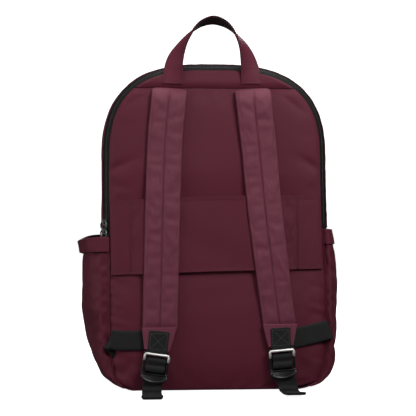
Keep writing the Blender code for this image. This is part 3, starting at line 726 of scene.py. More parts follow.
def seam_stitches(name, lines, body="root", material=BURGUNDY_THREAD, slot="shell_fabric", pitch=0.0034,
                  length=0.0026, radius=0.00024):
    """Raised thread along lines of points, each point with its outward normal."""
    rings, sides = 5, 6
    t = np.linspace(-1, 1, rings)
    turn = np.linspace(0, math.tau, sides, endpoint=False)
    vertices, faces = [], []
    for points, normal in lines:
        total = lengths(points)
        for at in np.arange(pitch / 2, total[-1] - pitch / 4, pitch):
            centre = point_at(points, total, at)
            along = point_at(points, total, at + 0.001) - point_at(points, total, at - 0.001)
            along /= max(np.linalg.norm(along), 1e-9)
            up = point_at(normal, total, at)
            up = up - (up @ along) * along
            up /= max(np.linalg.norm(up), 1e-9)
            side = np.cross(along, up)
            first = len(vertices)
            for v in t:
                size = radius * math.sqrt(max(1 - v * v * 0.96, 0.02))
                middle = centre + along * v * length / 2 + up * radius * (0.9 - 1.5 * v * v)
                for a in turn:
                    vertices.append(middle + side * math.cos(a) * size * 1.15 + up * math.sin(a) * size)
            for r in range(rings - 1):
                for k in range(sides):
                    m = (k + 1) % sides
                    faces.append([first + r * sides + k, first + r * sides + m,
                                  first + (r + 1) * sides + m, first + (r + 1) * sides + k])
            faces.append([first + k for k in range(sides)][::-1])
            faces.append([first + (rings - 1) * sides + k for k in range(sides)])
    mesh = bpy.data.meshes.new(name)
    mesh.from_pydata([tuple(v) for v in vertices], [], faces)
    bm = bmesh.new()
    bm.from_mesh(mesh)
    bmesh.ops.recalc_face_normals(bm, faces=bm.faces)
    bm.to_mesh(mesh)
    bm.free()
    return done(link(bpy.data.objects.new(name, mesh)), body, material, slot)


def on_surface(obj, points, direction=TO_BAG, reach=0.03):
    """Where points meet an object's surface, coming from outside along a direction, and its normals there."""
    bm = bmesh.new()
    bm.from_mesh(obj.data)
    tree = BVHTree.FromBMesh(bm)
    bm.free()
    found, normals = [], []
    for p, d in zip(points, np.broadcast_to(direction, points.shape)):
        place, normal, _, _ = tree.ray_cast(Vector(p - d * reach), Vector(d), reach * 2)
        if place is None:
            continue
        if normal.dot(Vector(d)) > 0:
            normal = -normal
        found.append(place)
        normals.append(normal)
    return np.array(found), np.array(normals)


# --- trolley sleeve ---
SLEEVE_SEAM_X = 0.1060  # the two upright seams of the sleeve


def make_sleeve():
    low, high = SLEEVE[0].z, SLEEVE[1].z
    columns, rows = 201, 31
    u = np.linspace(-1, 1, columns)[None]
    v = np.linspace(0, 1, rows)[:, None]
    top = np.interp(u, (-1, 0, 1), (high - 0.0035, high + 0.0030, high + 0.0040))
    bottom = np.interp(u, (-1, 0, 1), (low - 0.0045, low + 0.0006, low + 0.0028))
    z = bottom + (top - bottom) * v
    x = np.where(u < 0, u * (edge_x(-1, z) - 0.0010), u * (edge_x(1, z) - 0.0010))
    border = np.where(x < 0, edge_x(-1, z) + x, edge_x(1, z) - x)
    wide = np.abs(x)
    proud = 0.0044 * (1 - np.exp(-np.maximum(border, 0) / 0.006))
    proud = proud + (1 - smoothstep(0.086, 0.108, wide)) * 0.0034
    gape = 0.0006 * (np.exp(-v / 0.10) + 0.5 * np.exp(-(1 - v) / 0.10)) * (1 - smoothstep(0.06, 0.105, wide))
    soft = ripple(23, (x, 0.085), (x + 2 * z, 0.12)) * 0.0005 * (1 - smoothstep(0.09, 0.108, wide))
    groove = 0.0011 * np.exp(-((wide - SLEEVE_SEAM_X) / 0.0009) ** 2)
    groove = groove - 0.0003 * np.exp(-((wide - 0.1092) / 0.0020) ** 2)
    hem = 0.0006 * np.exp(-((v * (high - low) - 0.0050) / 0.0012) ** 2)
    hem = hem + 0.0006 * np.exp(-(((1 - v) * (high - low) - 0.0050) / 0.0012) ** 2)
    y = BACK_Y - 0.0022 - proud - gape - soft + groove + hem
    points = np.stack([np.broadcast_to(x, z.shape), y, z], axis=2)
    piece = grid_piece("trolley_sleeve_cloth", points)
    held = np.zeros((rows, columns))
    held[:, wide[0] > 0.104] = 1
    settle(piece, held.ravel(), 0.15, 0.006, 0.0010)
    refine(piece)
    thicken(piece, 0.0009)
    done(piece, "root", SLEEVE_CLOTH, "shell_fabric", "trolley_sleeve")
    lines = []
    zs = np.linspace(low - 0.002, high + 0.001, 60)
    for s in (-1, 1):
        for inset in (0.0, 0.0016):
            x_line = s * (SLEEVE_SEAM_X + inset)
            start = np.stack([np.full(60, x_line), np.full(60, BACK_Y - 0.006), zs], axis=1)
            lines.append(on_surface(piece, start))
    for edge, shift in ((0, 0.0045), (-1, -0.0045)):
        row = points[edge] + [0, -0.002, shift]
        lines.append(on_surface(piece, row[4:-4]))
    seam_stitches("sleeve_stitches", lines)


# --- handle ---
HANDLE_LEFT = ((-0.0527, 0.3925, 0), (-0.0522, 0.4060, 12), (-0.0510, 0.4170, 28), (-0.0482, 0.4270, 42),
               (-0.0437, 0.4370, 58), (-0.0382, 0.4465, 71), (-0.0318, 0.4550, 80), (-0.0245, 0.4630, 91),
               (-0.0150, 0.4700, 99), (-0.0010, 0.4738, 104))
HANDLE_RIGHT = ((0.0470, 0.3930, 0), (0.0466, 0.4060, 10), (0.0448, 0.4170, 26), (0.0425, 0.4270, 39),
                (0.0392, 0.4370, 53), (0.0350, 0.4455, 65), (0.0292, 0.4540, 77), (0.0225, 0.4625, 88),
                (0.0130, 0.4697, 98))  # x, z and the turn in degrees from facing the harness side


def make_handle():
    hinge_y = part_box("handle_foot_left")[0].y + 0.0014
    places = [(x, hinge_y - 0.0010, z, turn / 10000) for x, z, turn in HANDLE_LEFT + HANDLE_RIGHT[::-1]]
    line = curve(places, 0.0022)  # a degree of turn counts as a tenth of a millimetre of length
    centre, turn = line[:, :3], np.radians(line[:, 3] * 10000)[:, None]
    along = tangents(centre)
    flat = unit(np.stack([along[:, 2], np.zeros(len(along)), -along[:, 0]], axis=1))
    across = flat * np.cos(turn) - TO_BAG * np.sin(turn)
    out = np.cross(across, along)
    outer = ribbon("handle_cloth_loop", centre + out * 0.0007, across, WEB_WIDTH, 0.0017, 11, 0.55)
    inner = ribbon("handle_black_lining", centre - out * 0.0009, across, WEB_WIDTH - 0.0012, 0.0012, 9, 0.5)
    face = centre + out * 0.00155
    lines = [(face + across * s * (WEB_WIDTH / 2 - 0.0022), out) for s in (-1, 1)]
    for end in (2, -3, 9, -10):
        row = face[end] + across[end] * np.linspace(-0.0095, 0.0095, 12)[:, None]
        lines.append((row, np.array([out[end]] * 12)))
    threads = seam_stitches("handle_stitches", lines, None, pitch=0.0030, length=0.0023)
    for piece, material, slot, nodes in (
            (outer, HANDLE_CLOTH, "shell_fabric", ("handle_loop", "handle_foot_left", "handle_foot_right")),
            (inner, HANDLE_BLACK, "black_webbing", ("handle_lining",)),
            (threads, BURGUNDY_THREAD, "shell_fabric", ())):
        done(piece, None, material, slot, *nodes)
        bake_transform(piece)


# --- shoulder straps ---
STRAP_LINES = {
    "left": (((-0.0570, 0.3865), (-0.0598, 0.355), (-0.0625, 0.329), (-0.0637, 0.303), (-0.0660, 0.233),
              (-0.0673, 0.170), (-0.0682, 0.137), (-0.0694, 0.0785)), (0.0455, 0.0455)),
    "right": (((0.0486, 0.3865), (0.0522, 0.350), (0.0568, 0.310), (0.0640, 0.233), (0.0736, 0.1565),
               (0.0785, 0.118), (0.0836, 0.0815)), (0.0470, 0.0425)),
}  # x and z down the strap, and its width at the top and at the end
STRAP_FRONT = 47  # points over the strap's front
STRAP_TOP_FOLDS = ((0.020, 0.9, 1), (0.027, 0.6, 1), (0.033, -0.7, -1), (0.015, -0.5, -1), (0.041, 0.4, 1))


def strap_section():
    """A padded section, over the front and back behind: places across, and shares of half the thickness."""
    front = np.linspace(-1, 1, STRAP_FRONT)
    front = front * (1.22 - 0.22 * front ** 2)
    back = front[::3][::-1][1:-1]
    across = np.concatenate([front, back])
    face = np.concatenate([np.ones(len(front)), -np.ones(len(back))])
    return across, face * (1 - np.minimum(np.abs(across), 1) ** 7) ** (1 / 2.3)


def make_strap(side):
    line, (top_width, end_width) = STRAP_LINES[side]
    centre_y = (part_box(side + "_strap_cover")[0].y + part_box(side + "_strap_backing")[1].y) / 2
    path = curve([(x, 0.0, z) for x, z in line], 0.0045)
    z = path[:, 2]
    rise = np.clip((z[0] - z) / 0.018, 0, 1)
    path[:, 1] = BACK_Y - 0.0030 + (centre_y - BACK_Y + 0.0030) * np.sin(rise * np.pi / 2) ** 0.9
    phase, width_seed, fold_seed = (0.4, 41, 51) if side == "left" else (1.6, 43, 57)
    path[:, 1] += 0.0007 * np.sin((z - z[-1]) / (z[0] - z[-1]) * np.pi * 3 + phase) * rise
    share = (z[0] - z) / (z[0] - z[-1])
    width = top_width + (end_width - top_width) * share
    width = width + ripple(width_seed, (z, 0.07)) * 0.0005
    thick = 0.0030 + 0.0072 * np.sin(np.clip((z[0] - z) / 0.024, 0, 1) * np.pi / 2) ** 0.8
    thick *= 1 - 0.52 * np.exp(-((z - z[-1]) / 0.0065) ** 2)
    along = tangents(path)
    across_axis = unit(np.array([1.0, 0, 0]) - along[:, :1] * along)
    out = np.cross(along, across_axis)
    across, face = strap_section()
    count = len(across)
    front = np.arange(count) < STRAP_FRONT
    rings = (path[:, None] + across_axis[:, None] * (width[:, None] * across / 2)[..., None]
             + out[:, None] * (thick[:, None] * face / 2)[..., None])
    valley = np.exp(-(across / 0.050) ** 2) * 0.0024 * front
    hem = np.exp(-((np.abs(across) - 0.84) / 0.045) ** 2) * 0.0008 * front
    folds = 0
    draw = np.random.default_rng(fold_seed)
    down, over = z[:, None], across[None]
    for place in draw.uniform(z[-1] + 0.01, z[0] - 0.03, 26):
        slant, half = draw.uniform(-0.25, 0.25), draw.choice([-1, 1])
        reach = np.exp(-((over - half * 0.45) / 0.38) ** 2)
        folds = folds + draw.uniform(0.3, 0.9) * 0.001 * reach * np.exp(
            -((down - place - slant * over * width[:, None] / 2) / draw.uniform(0.0018, 0.0040)) ** 2)
    for drop, slant, half in STRAP_TOP_FOLDS:
        folds = folds + 0.0011 * np.exp(-((over - half * 0.4) / 0.42) ** 2) * np.exp(
            -((down - z[0] + drop - slant * over * width[:, None] / 2) / 0.0026) ** 2)
    rings -= out[:, None] * ((valley + hem)[None] * rise[:, None] + folds * front * rise[:, None])[..., None]
    piece = grid_piece(side + "_strap_pad", rings, around=True)
    held = np.zeros((len(path), count))
    held[:, (np.abs(across) > 0.93) | ~front] = 1
    held[:, np.abs(across) < 0.07] = 1
    held[:2] = held[-2:] = 1
    cap_ends(piece, len(path), count)
    settle(piece, held.ravel(), 1.0, 0.011, 0.0010)
    refine(piece)
    done(piece, side + "_strap", STRAP_CLOTH, "shell_fabric", side + "_strap_cover", side + "_strap_backing",
         side + "_strap_foam")
    middle = path[rise >= 0.25][:-1] + [0, -0.01, 0]
    row = path[-2] + [0, -0.01, 0] + np.linspace(-0.5, 0.5, 24)[:, None] * [end_width - 0.008, 0, 0]
    lines = [on_surface(piece, start) for start in (middle, row, row + [0, 0, 0.0035])]
    seam_stitches(side + "_strap_stitches", lines, side + "_strap", pitch=0.0036, length=0.0028)


# --- buckles and webbing ---
TILT = {"left": 8.3, "right": -5.0}  # degrees that each buckle hangs out of level, seen from the harness side


def bar_place(side):
    low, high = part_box(side + "_buckle_bar")
    return np.array([(low.x + high.x) / 2, (low.y + high.y) / 2, high.z - 0.0015])


def tilted(side, points):
    """Turns points about the buckle bar's middle in the plane of the back."""
    turn = math.radians(TILT[side])
    c, s = math.cos(turn), math.sin(turn)
    centre = bar_place(side)
    p = np.asarray(points, float) - centre
    x = p[..., 0] * c + p[..., 2] * s
    z = -p[..., 0] * s + p[..., 2] * c
    return np.stack([x, p[..., 1], z], axis=-1) + centre


def level_across(side, lean):
    """The direction across webbing: level where lean is 0, and along the tilted buckle where it is 1."""
    tilt = math.radians(TILT[side])
    return np.array([[1.0, 0, 0]]) * (1 - lean) + np.array([[math.cos(tilt), 0, -math.sin(tilt)]]) * lean


def webbing_strip(name, line, across, body, *nodes, width=WEB_WIDTH, thickness=WEB, columns=15):
    web = ribbon(name, line, across, width, thickness, columns, 0.4)
    refine(web)
    return done(web, body, WEBBING, "black_webbing", *nodes)


def make_end(side):
    """The unpadded end of a strap, with the webbing loop stitched on its face."""
    bar = bar_place(side)
    top_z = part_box(side + "_end_tab")[1].z + 0.006
    end_x = {"left": -0.0702, "right": 0.0830}[side]
    rows, columns = 11, 21
    v = np.linspace(0, 1, rows)[:, None]
    u = np.linspace(-1, 1, columns)[None]
    middle = end_x + (bar[0] - 0.0004 - end_x) * v
    half = 0.0222 + (0.0160 - 0.0222) * v
    drop = math.tan(math.radians(TILT[side] * 0.8))
    x = middle + half * u
    z = top_z + (bar[2] + 0.0032 - top_z) * v - drop * (x - middle) * v
    y = bar[1] + 0.0 * u - 0.0004 * np.cos(np.pi * u / 2)
    grid = np.stack([x, np.broadcast_to(y, x.shape), z], axis=2)
    piece = grid_piece(side + "_end_cloth", grid)
    refine(piece)
    thicken(piece, 0.0022, 0.0)
    round_off(piece, 0.0008, 30)
    done(piece, None, STRAP_CLOTH, "shell_fabric", side + "_end_tab")

    radius = (bar[1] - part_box(side + "_strap_webbing_loop")[0].y) - WEB / 2
    turn = np.linspace(0, math.pi, 15)
    top = np.array([[end_x - bar[0], -radius, top_z - 0.0045 - bar[2]]])
    arc = np.stack([np.zeros(15), -radius * np.cos(turn), -radius * np.sin(turn)], axis=1)
    back = top * [1, -1, 1]
    line = curve(np.vstack([top, top * [0.5, 1, 0.5], arc, back * [0.5, 1, 0.5], back]) + bar, 0.0010)
    lean = smoothstep(top_z - 0.004, bar[2], line[:, 2])[:, None]
    web = webbing_strip(side + "_webbing_loop", line, level_across(side, lean), None,
                        side + "_strap_webbing_loop")
    tilt = math.radians(TILT[side])
    face = bar[1] - radius - WEB / 2
    z_high, z_low = top_z - 0.0075, bar[2] + 0.0050
    corners = []
    for cz in (z_high, z_low):
        shift = (cz - bar[2]) / (top_z - 0.0045 - bar[2])
        for cx in (-0.0105, 0.0105):
            corners.append(np.array([bar[0] + (end_x - bar[0]) * shift + cx, face,
                                     cz - math.sin(tilt) * cx * (1 - shift)]))
    a, b, c, d = corners
    runs = ((a, b), (c, d), (a, c), (b, d), (a, d), (b, c))
    lines = [on_surface(web, np.linspace(p, q, 14), reach=0.004) for p, q in runs]
    lines = [found for found in lines if len(found[0]) > 2]
    box = seam_stitches(side + "_box_stitches", lines, None, BLACK_THREAD, "black_webbing", 0.0026, 0.0021,
                        0.00028)
    for bending in (piece, web, box):  # the webbing goes round the bar; these pieces are on no body and get their places baked in
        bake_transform(bending)


def moulded(name, boxes, voxel, smoothing, body, material, slot, *nodes):
    """A moulded piece: overlapping blocks, each given by its eight corners, melted into one skin."""
    bm = bmesh.new()
    for corners in boxes:
        verts = [bm.verts.new(tuple(p)) for p in corners]
        for face in ((0, 1, 3, 2), (4, 6, 7, 5), (0, 4, 5, 1), (2, 3, 7, 6), (0, 2, 6, 4), (1, 5, 7, 3)):
            bm.faces.new([verts[i] for i in face])
    bmesh.ops.recalc_face_normals(bm, faces=bm.faces)
    mesh = bpy.data.meshes.new(name)
    bm.to_mesh(mesh)
    bm.free()
    piece = link(bpy.data.objects.new(name, mesh))
    remesh = piece.modifiers.new("skin", "REMESH")
    remesh.mode, remesh.voxel_size = "VOXEL", voxel
    soften = piece.modifiers.new("soften", "SMOOTH")
    soften.factor, soften.iterations = 0.5, smoothing
    apply_modifiers(piece)
    return done(piece, body, material, slot, *nodes)


def block(low, high, lift_low=0.0, lift_high=0.0):
    """Eight corners of a block; its lower and upper ends may be moved towards -Y."""
    corners = []
    for x in (low[0], high[0]):
        for y in (low[1], high[1]):
            corners.append((x, y - lift_low, low[2]))
            corners.append((x, y - lift_high, high[2]))
    return np.array(corners)


def make_buckle(side):
    """A ladder lock: side rails, three rungs and a dished thumb tab, with a bright bar across its top."""
    bar = bar_place(side)
    low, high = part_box(side + "_ladder_lock")
    front, back = -0.0027, 0.0027
    half = (high.x - low.x) / 2
    slot_half = half - 0.0028
    blocks = []
    for s in (-1, 1):
        inner, outer = sorted((s * slot_half, s * half))
        blocks.append(block((inner, front, -0.0265), (outer, back, 0.0006)))
        blocks.append(block((inner, front + 0.0002, -0.0300), (outer, back - 0.0020, -0.0255), 0.0012, 0.0))
    blocks.append(block((-half + 0.001, -0.0009, -0.0009), (half - 0.001, 0.0009, 0.0009)))
    blocks.append(block((-half, front + 0.0006, -0.0117), (half, back - 0.0006, -0.0072)))
    blocks.append(block((-half, front + 0.0006, -0.0222), (half, back - 0.0006, -0.0182)))
    cells = 18
    edges = np.linspace(-half, half, cells + 1)
    for x0, x1 in zip(edges, edges[1:]):
        share = (x0 + x1) / 2 / half
        bow = 0.0078 * math.sqrt(max(1 - share * share, 0))
        dish = 0.0016 * (1 - share * share)
        x0, x1 = x0 - 0.0002, x1 + 0.0002
        blocks.append(block((x0, front - 0.0002 + dish, -0.0289 - bow), (x1, front + 0.0014 + dish, -0.0262),
                            0.0022, 0.0))
        blocks.append(block((x0, front - 0.0026 + dish, -0.0297 - bow),
                            (x1, front - 0.0006 + dish, -0.0281 - bow)))
    blocks.append(block((-half, front - 0.0009, -0.0276), (half, front + 0.0018, -0.0262)))
    moulded(side + "_ladder_frame", [tilted(side, b + bar) for b in blocks], 0.00045, 3, side + "_buckle",
            PLASTIC, "black_plastic", side + "_ladder_lock")

    leg = half - 0.0013
    bend = 0.0024
    ahead, level = front - 0.0022, -0.0014
    half_path = [(leg, front + 0.0004, -0.0094), (leg, ahead + 0.0006, -0.0068), (leg, ahead, level - bend),
                 (leg - bend * 0.3, ahead, level - bend * 0.3), (leg - bend, ahead, level)]
    path = [(-x, y, z) for x, y, z in half_path] + [(0, ahead - 0.0002, level)] + half_path[::-1]
    line = tilted(side, curve(path, 0.0006) + bar)
    tube(side + "_bright_bar", line, 0.00160, 16, side + "_buckle", BRIGHT, "bright_metal",
         side + "_buckle_bar")


def tube(name, line, radius, sides, body, material, slot, *nodes):
    along = tangents(line)
    side = unit(TO_BAG - (TO_BAG * along).sum(1)[:, None] * along)
    other = np.cross(along, side)
    turn = np.linspace(0, math.tau, sides, endpoint=False)
    rings = (line[:, None] + side[:, None] * (radius * np.cos(turn))[None, :, None]
             + other[:, None] * (radius * np.sin(turn))[None, :, None])
    piece = grid_piece(name, rings, around=True)
    cap_ends(piece, len(line), sides)
    return done(piece, body, material, slot, *nodes)


def make_tail(side):
    """Webbing over the rungs, out under the thumb tab, down, and on to the ground with a rolled end."""
    bar = bar_place(side)
    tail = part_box(side + "_webbing_tail")
    wrap = WEB / 2 + GAP
    front, back = -0.0027 - wrap, 0.0027 + wrap
    top, rung = -0.0075, -0.0222
    path = [(back, -0.0135), (back, top), (back - 0.3 * wrap, top + 0.7 * wrap), (0.0024, top + wrap),
            (-0.0024, top + wrap), (front + 0.3 * wrap, top + 0.7 * wrap), (front, top - 0.0006),
            (front - 0.0001, -0.0108), (front + 0.0011, -0.0150), (front - 0.0001, -0.0192),
            (front, rung + 0.0008), (front + 0.3 * wrap, rung - 0.8 * wrap), (-0.0023, rung - 1.35 * wrap),
            (0.0010, rung - 0.0023), (0.0027, rung - 0.0033), (back - 0.0002, rung - 0.0047),
            (back + 0.0002, rung - 0.0070)]
    upper = tilted(side, np.array([(0.0, y, z) for y, z in path]) + bar)
    start = upper[-1]
    way = {"left": -0.0030, "right": 0.0088}[side]  # the tails drift outwards as they fall
    floor = WEB / 2 + 0.0007
    bend = 0.0080
    lower = [start + (start - upper[-2]) * 0.5]
    for k in range(7):
        turn = math.pi / 2 * k / 6
        lower.append(np.array([start[0] + way * (0.70 + 0.22 * k / 6),
                               start[1] - bend + bend * math.cos(turn), floor + bend - bend * math.sin(turn)]))
    end_y = tail[0].y + 0.0006
    x_end = start[0] + way
    last_bend = lower[-1]
    for t in (0.35, 0.7, 1.0):
        lift = 0.0012 * math.sin(math.pi * t) if side == "left" else 0.0036 * t ** 2
        lower.append(np.array([last_bend[0] + (x_end - last_bend[0]) * t,
                               last_bend[1] + (end_y - last_bend[1]) * t, floor + lift]))
    line = curve(np.vstack([upper, lower]), 0.0011)
    tilt = math.radians(TILT[side])
    lean = smoothstep(start[2], floor + 0.004, line[:, 2])[:, None]
    across = (np.array([[math.cos(tilt), 0, -math.sin(tilt)]]) * (1 - lean)
              + np.array([[1.0, 0.05 * np.sign(way), 0]]) * lean)
    webbing_strip(side + "_tail_webbing", line, across, side + "_buckle", side + "_webbing_tail")
    hem_line = line[-13:].copy()
    hem_line[:, 2] += WEB * 0.95
    hem_line[:, 2] += 0.0005 * np.sin(np.linspace(0, np.pi, 13))
    hem = webbing_strip(side + "_tail_hem", hem_line, across[-13:], side + "_buckle",
                        width=WEB_WIDTH + 0.0022, thickness=0.0021)
    rows = []
    for k in (2, 9):
        p = hem_line[k] + np.linspace(-0.5, 0.5, 12)[:, None] * [WEB_WIDTH - 0.004, 0, 0] + [0, 0, 0.004]
        rows.append(on_surface(hem, p, np.array([0, 0, -1.0]), 0.01))
    seam_stitches(side + "_hem_stitches", rows, side + "_buckle", BLACK_THREAD, "black_webbing", 0.0026,
                  0.0020)


ANCHOR_FOLD = {  # middle of the fold at the side seam, the fold's direction, and the band's direction inwards
    "left": ((-0.1312, 0.0668), (0.449, 0.894), (1.0, -0.03)),
    "right": ((0.1470, 0.0782), (-0.347, 0.938), (-0.970, -0.243)),
}


def make_anchor(side):
    """Webbing from the side seam, folded over, behind the end tab, down in a loop and up into the buckle."""
    s = -1 if side == "left" else 1
    bar = bar_place(side)
    reach = abs(bar[0])
    (fold_x, fold_z), fold, inwards = ANCHOR_FOLD[side]
    middle = np.array([fold_x, 0, fold_z])
    fold = np.array([fold[0], 0, fold[1]]) / math.hypot(*fold)
    inwards = np.array([inwards[0], 0, inwards[1]]) / math.hypot(*inwards)
    outwards = 2 * (inwards @ fold) * fold - inwards  # the way in, mirrored in the fold
    over = unit(inwards - (inwards @ fold) * fold)
    front_y, under_y = -0.0868, -0.0828
    radius = (under_y - front_y) / 2
    path = []
    for back in (0.020, 0.012, 0.005):
        place = middle - outwards * back
        sink = smoothstep(0.004, 0.020, back) * 0.0062
        path.append((place + [0, under_y + sink, 0], fold))
    for k in range(7):
        turn = math.pi * k / 6
        place = middle - over * radius * math.sin(turn) + fold * (inwards @ fold) * 0.0008 * (k - 3)
        path.append((place + [0, (front_y + under_y) / 2 + radius * math.cos(turn), 0], fold))
    high_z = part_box(side + "_anchor_webbing")[1].z - WEB_WIDTH / 2
    high_z = min(high_z, 0.0668)
    corner = 0.0135
    run_length = fold_x * s - (reach + corner)
    for share in (0.2, 0.5, 0.8):
        place = middle + inwards * run_length * share
        place[2] += (high_z - (middle + inwards * run_length)[2]) * share ** 2
        path.append((place + [0, front_y, 0], fold * (1 - share) + np.array([0, 0, share])))
    for k in range(0, 6):
        turn = math.pi / 2 * k / 5
        x = reach + corner * (1 - math.sin(turn))
        z = high_z - corner * (1 - math.cos(turn))
        path.append((np.array([s * x, front_y + 0.0033 * k / 5, z]),
                     np.array([-s * math.sin(turn), 0, math.cos(turn)])))
    down, up, bottom = -0.0835, -0.0868, 0.0170
    back = bar[1] + 0.0027 + WEB / 2 + GAP
    drop = [(down, bottom + 0.012), (down, bottom)]
    drop += [((down + up) / 2 + (down - up) / 2 * math.cos(math.pi * i / 4),
              bottom - (down - up) / 2 * math.sin(math.pi * i / 4)) for i in range(1, 4)]
    drop += [(up, bottom), (up, bar[2] - 0.0245), (back, bar[2] - 0.0172), (back, bar[2] - 0.0140)]
    path += [(np.array([s * reach, y, z]), np.array([-s, 0, 0])) for y, z in drop]
    joined = curve([np.concatenate([p, a * 0.001]) for p, a in path], 0.0012)
    web = webbing_strip(side + "_anchor_strap", joined[:, :3], joined[:, 3:], None, side + "_anchor_webbing",
                        columns=13)
    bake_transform(web)


# --- side pockets ---
POCKET_REACH = {
    "left": ((0.0045, 0.1185), (0.009, 0.1290), (0.018, 0.1420), (0.036, 0.1520), (0.064, 0.1612),
             (0.106, 0.1672), (0.150, 0.1684), (0.176, 0.1684), (0.198, 0.1712)),
    "right": ((0.0045, 0.1310), (0.009, 0.1420), (0.018, 0.1530), (0.034, 0.1600), (0.055, 0.1630),
              (0.086, 0.1630), (0.128, 0.1635), (0.160, 0.1620), (0.192, 0.1590), (0.208, 0.1550)),
}
POCKET_FOOT = 0.0045
POCKET_COLUMNS = 46
POCKET_FOLDS = {
    "left": ((0.02, 0.075, 0.035, 0.0035, -30, 0.0016), (0.018, 0.060, 0.040, 0.0035, -8, 0.0013),
             (0.02, 0.090, 0.035, 0.0032, -52, 0.0012), (0.05, 0.145, 0.045, 0.006, 70, 0.0012),
             (0.07, 0.040, 0.040, 0.006, 15, 0.0015), (0.09, 0.110, 0.050, 0.008, -60, 0.0012)),
    "right": ((0.02, 0.080, 0.035, 0.0035, 30, 0.0014), (0.02, 0.055, 0.035, 0.0035, 5, 0.0012),
              (0.05, 0.150, 0.045, 0.006, -70, 0.0011), (0.07, 0.045, 0.040, 0.006, -12, 0.0014)),
}


def pocket_surface(side, z, inset=0.0):
    """Points of a pocket's plan at heights: from the back seam out round the side to the front."""
    s = -1 if side == "left" else 1
    reach_line = np.array(POCKET_REACH[side])
    reach = np.interp(z, reach_line[:, 0], reach_line[:, 1]) - inset
    seam = edge_x(s, z) + 0.0006
    body = edge_x(s, z) + np.where(s < 0, 0.0100, 0.0058) * smoothstep(0.002, 0.062, z)
    u = np.linspace(0, 1, POCKET_COLUMNS)[None]
    back_y, front_y = -0.0742 + inset, 0.0470 - inset
    turn = np.pi * u
    x_inner = seam[:, None] * (1 - u) + (body[:, None] + 0.0006) * u
    rise = np.abs(np.sin(turn)) ** 0.62
    x = x_inner + (reach[:, None] - x_inner) * rise
    y = back_y + (front_y - back_y) * (0.5 - 0.5 * np.sign(np.cos(turn)) * np.abs(np.cos(turn)) ** 0.8)
    y = y - 0.0062 * smoothstep(0, 0.055, u) * (1 - smoothstep(0.18, 0.46, u))  # as full as the back panel
    return np.stack([s * x, np.broadcast_to(y, x.shape), np.broadcast_to(z[:, None], x.shape)], axis=2)


def make_pocket(side):
    left = side == "left"
    s = -1 if left else 1
    drop, tip_drop, sag = (0.0030, 0.0035, 0.0004) if left else (0.0, 0.0008, 0.0)
    hem_low, hem_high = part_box(side + "_pocket_hem")
    rows = int((hem_low.z - POCKET_FOOT) / CLOTH_STEP)
    points = pocket_surface(side, np.linspace(POCKET_FOOT, hem_low.z, rows))
    tip = np.abs(np.sin(np.linspace(0, np.pi, POCKET_COLUMNS))) ** 2
    points[..., 2] -= drop * smoothstep(0.10, hem_low.z, points[..., 2]) * tip
    height = points[..., 2]
    out = normals_of(points)
    out *= np.sign(out[..., :1] * s)
    flat_u = lengths(points[rows // 2])[None] * np.ones((rows, 1))
    shape = 0
    for u0, z0, length, width, turn, depth in POCKET_FOLDS[side]:
        shape = shape - dent(flat_u, height, (u0, z0), length, width, turn, depth)
    shape = shape + ripple(61 if left else 67, (flat_u + 0.5 * height, 0.09), (height, 0.13)) * 0.0010
    inner = np.minimum(1, np.minimum(flat_u, flat_u[:, -1:] - flat_u) / 0.015)
    inner = inner * np.minimum(1, (height - POCKET_FOOT) / 0.02)
    seam = ripple(71, (height + 0.3 * flat_u, 0.015)) * 0.0020 * np.exp(-flat_u / 0.013)
    seam = seam * smoothstep(0, 0.003, flat_u)
    points = points + out * (shape * np.clip(inner, 0, 1) + seam)[..., None]
    piece = grid_piece(side + "_pocket_cloth", points)
    settle(piece, edge_weights(rows, POCKET_COLUMNS), -0.4 * s, 0.022, 0.0040)
    sewn(piece, side + "_pocket_panel", 0.0)

    z = np.linspace(hem_low.z, hem_high.z, 6)
    share = (z[:, None] - z[0]) / (z[-1] - z[0])
    band_points = pocket_surface(side, z, inset=-0.0036 if left else -0.0010)
    band_points[..., 2] -= (drop + tip_drop * share) * tip
    band_points[..., 0] += s * sag * tip * share
    gather = ripple(81, (lengths(band_points[2])[None], 0.012)) * 0.0003
    band_points[..., 0] += s * gather * tip
    hem = grid_piece(side + "_pocket_band", band_points)
    refine(hem)
    thicken(hem, 0.0022, 0.0)
    round_off(hem, 0.0008)
    done(hem, "root", SHELL, "shell_fabric", side + "_pocket_hem")
    inner_points = band_points.copy()
    inner_points[..., 0] -= s * 0.0019 * tip ** 0.3
    inner_points[..., 1] += 0.0014 * np.cos(np.linspace(0, np.pi, POCKET_COLUMNS))
    inside = grid_piece(side + "_pocket_lining", inner_points[:, 1:-1] + [0, 0, -0.0006])
    thicken(inside, 0.0008, 0.0)
    done(inside, "root", WEBBING, "black_webbing", side + "_pocket_elastic")
    lines = []
    for row, shift in ((0, 0.0016), (-1, -0.0022)):
        start = band_points[row][2:-2] + [0, 0, shift]
        middle = np.array([s * 0.115, -0.012, 0])
        lines.append(on_surface(hem, start, unit((middle - start) * [1, 1, 0]), 0.02))
    seam_stitches(side + "_pocket_stitches", lines)


def round_off(obj, width, angle=50):
    """Rounds the edges that turn by more than an angle in degrees."""
    bevel = obj.modifiers.new("edge", "BEVEL")
    bevel.width = width
    bevel.segments = 3
    bevel.limit_method = "ANGLE"
    bevel.angle_limit = math.radians(angle)
    return apply_modifiers(obj)


# --- sliders ---
def pull_hole(joint_name):
    for joint in frame["joints"]:
        if joint["name"] == joint_name:
            return np.array(joint["pos_m"], float)
    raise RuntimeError("no joint named " + joint_name)


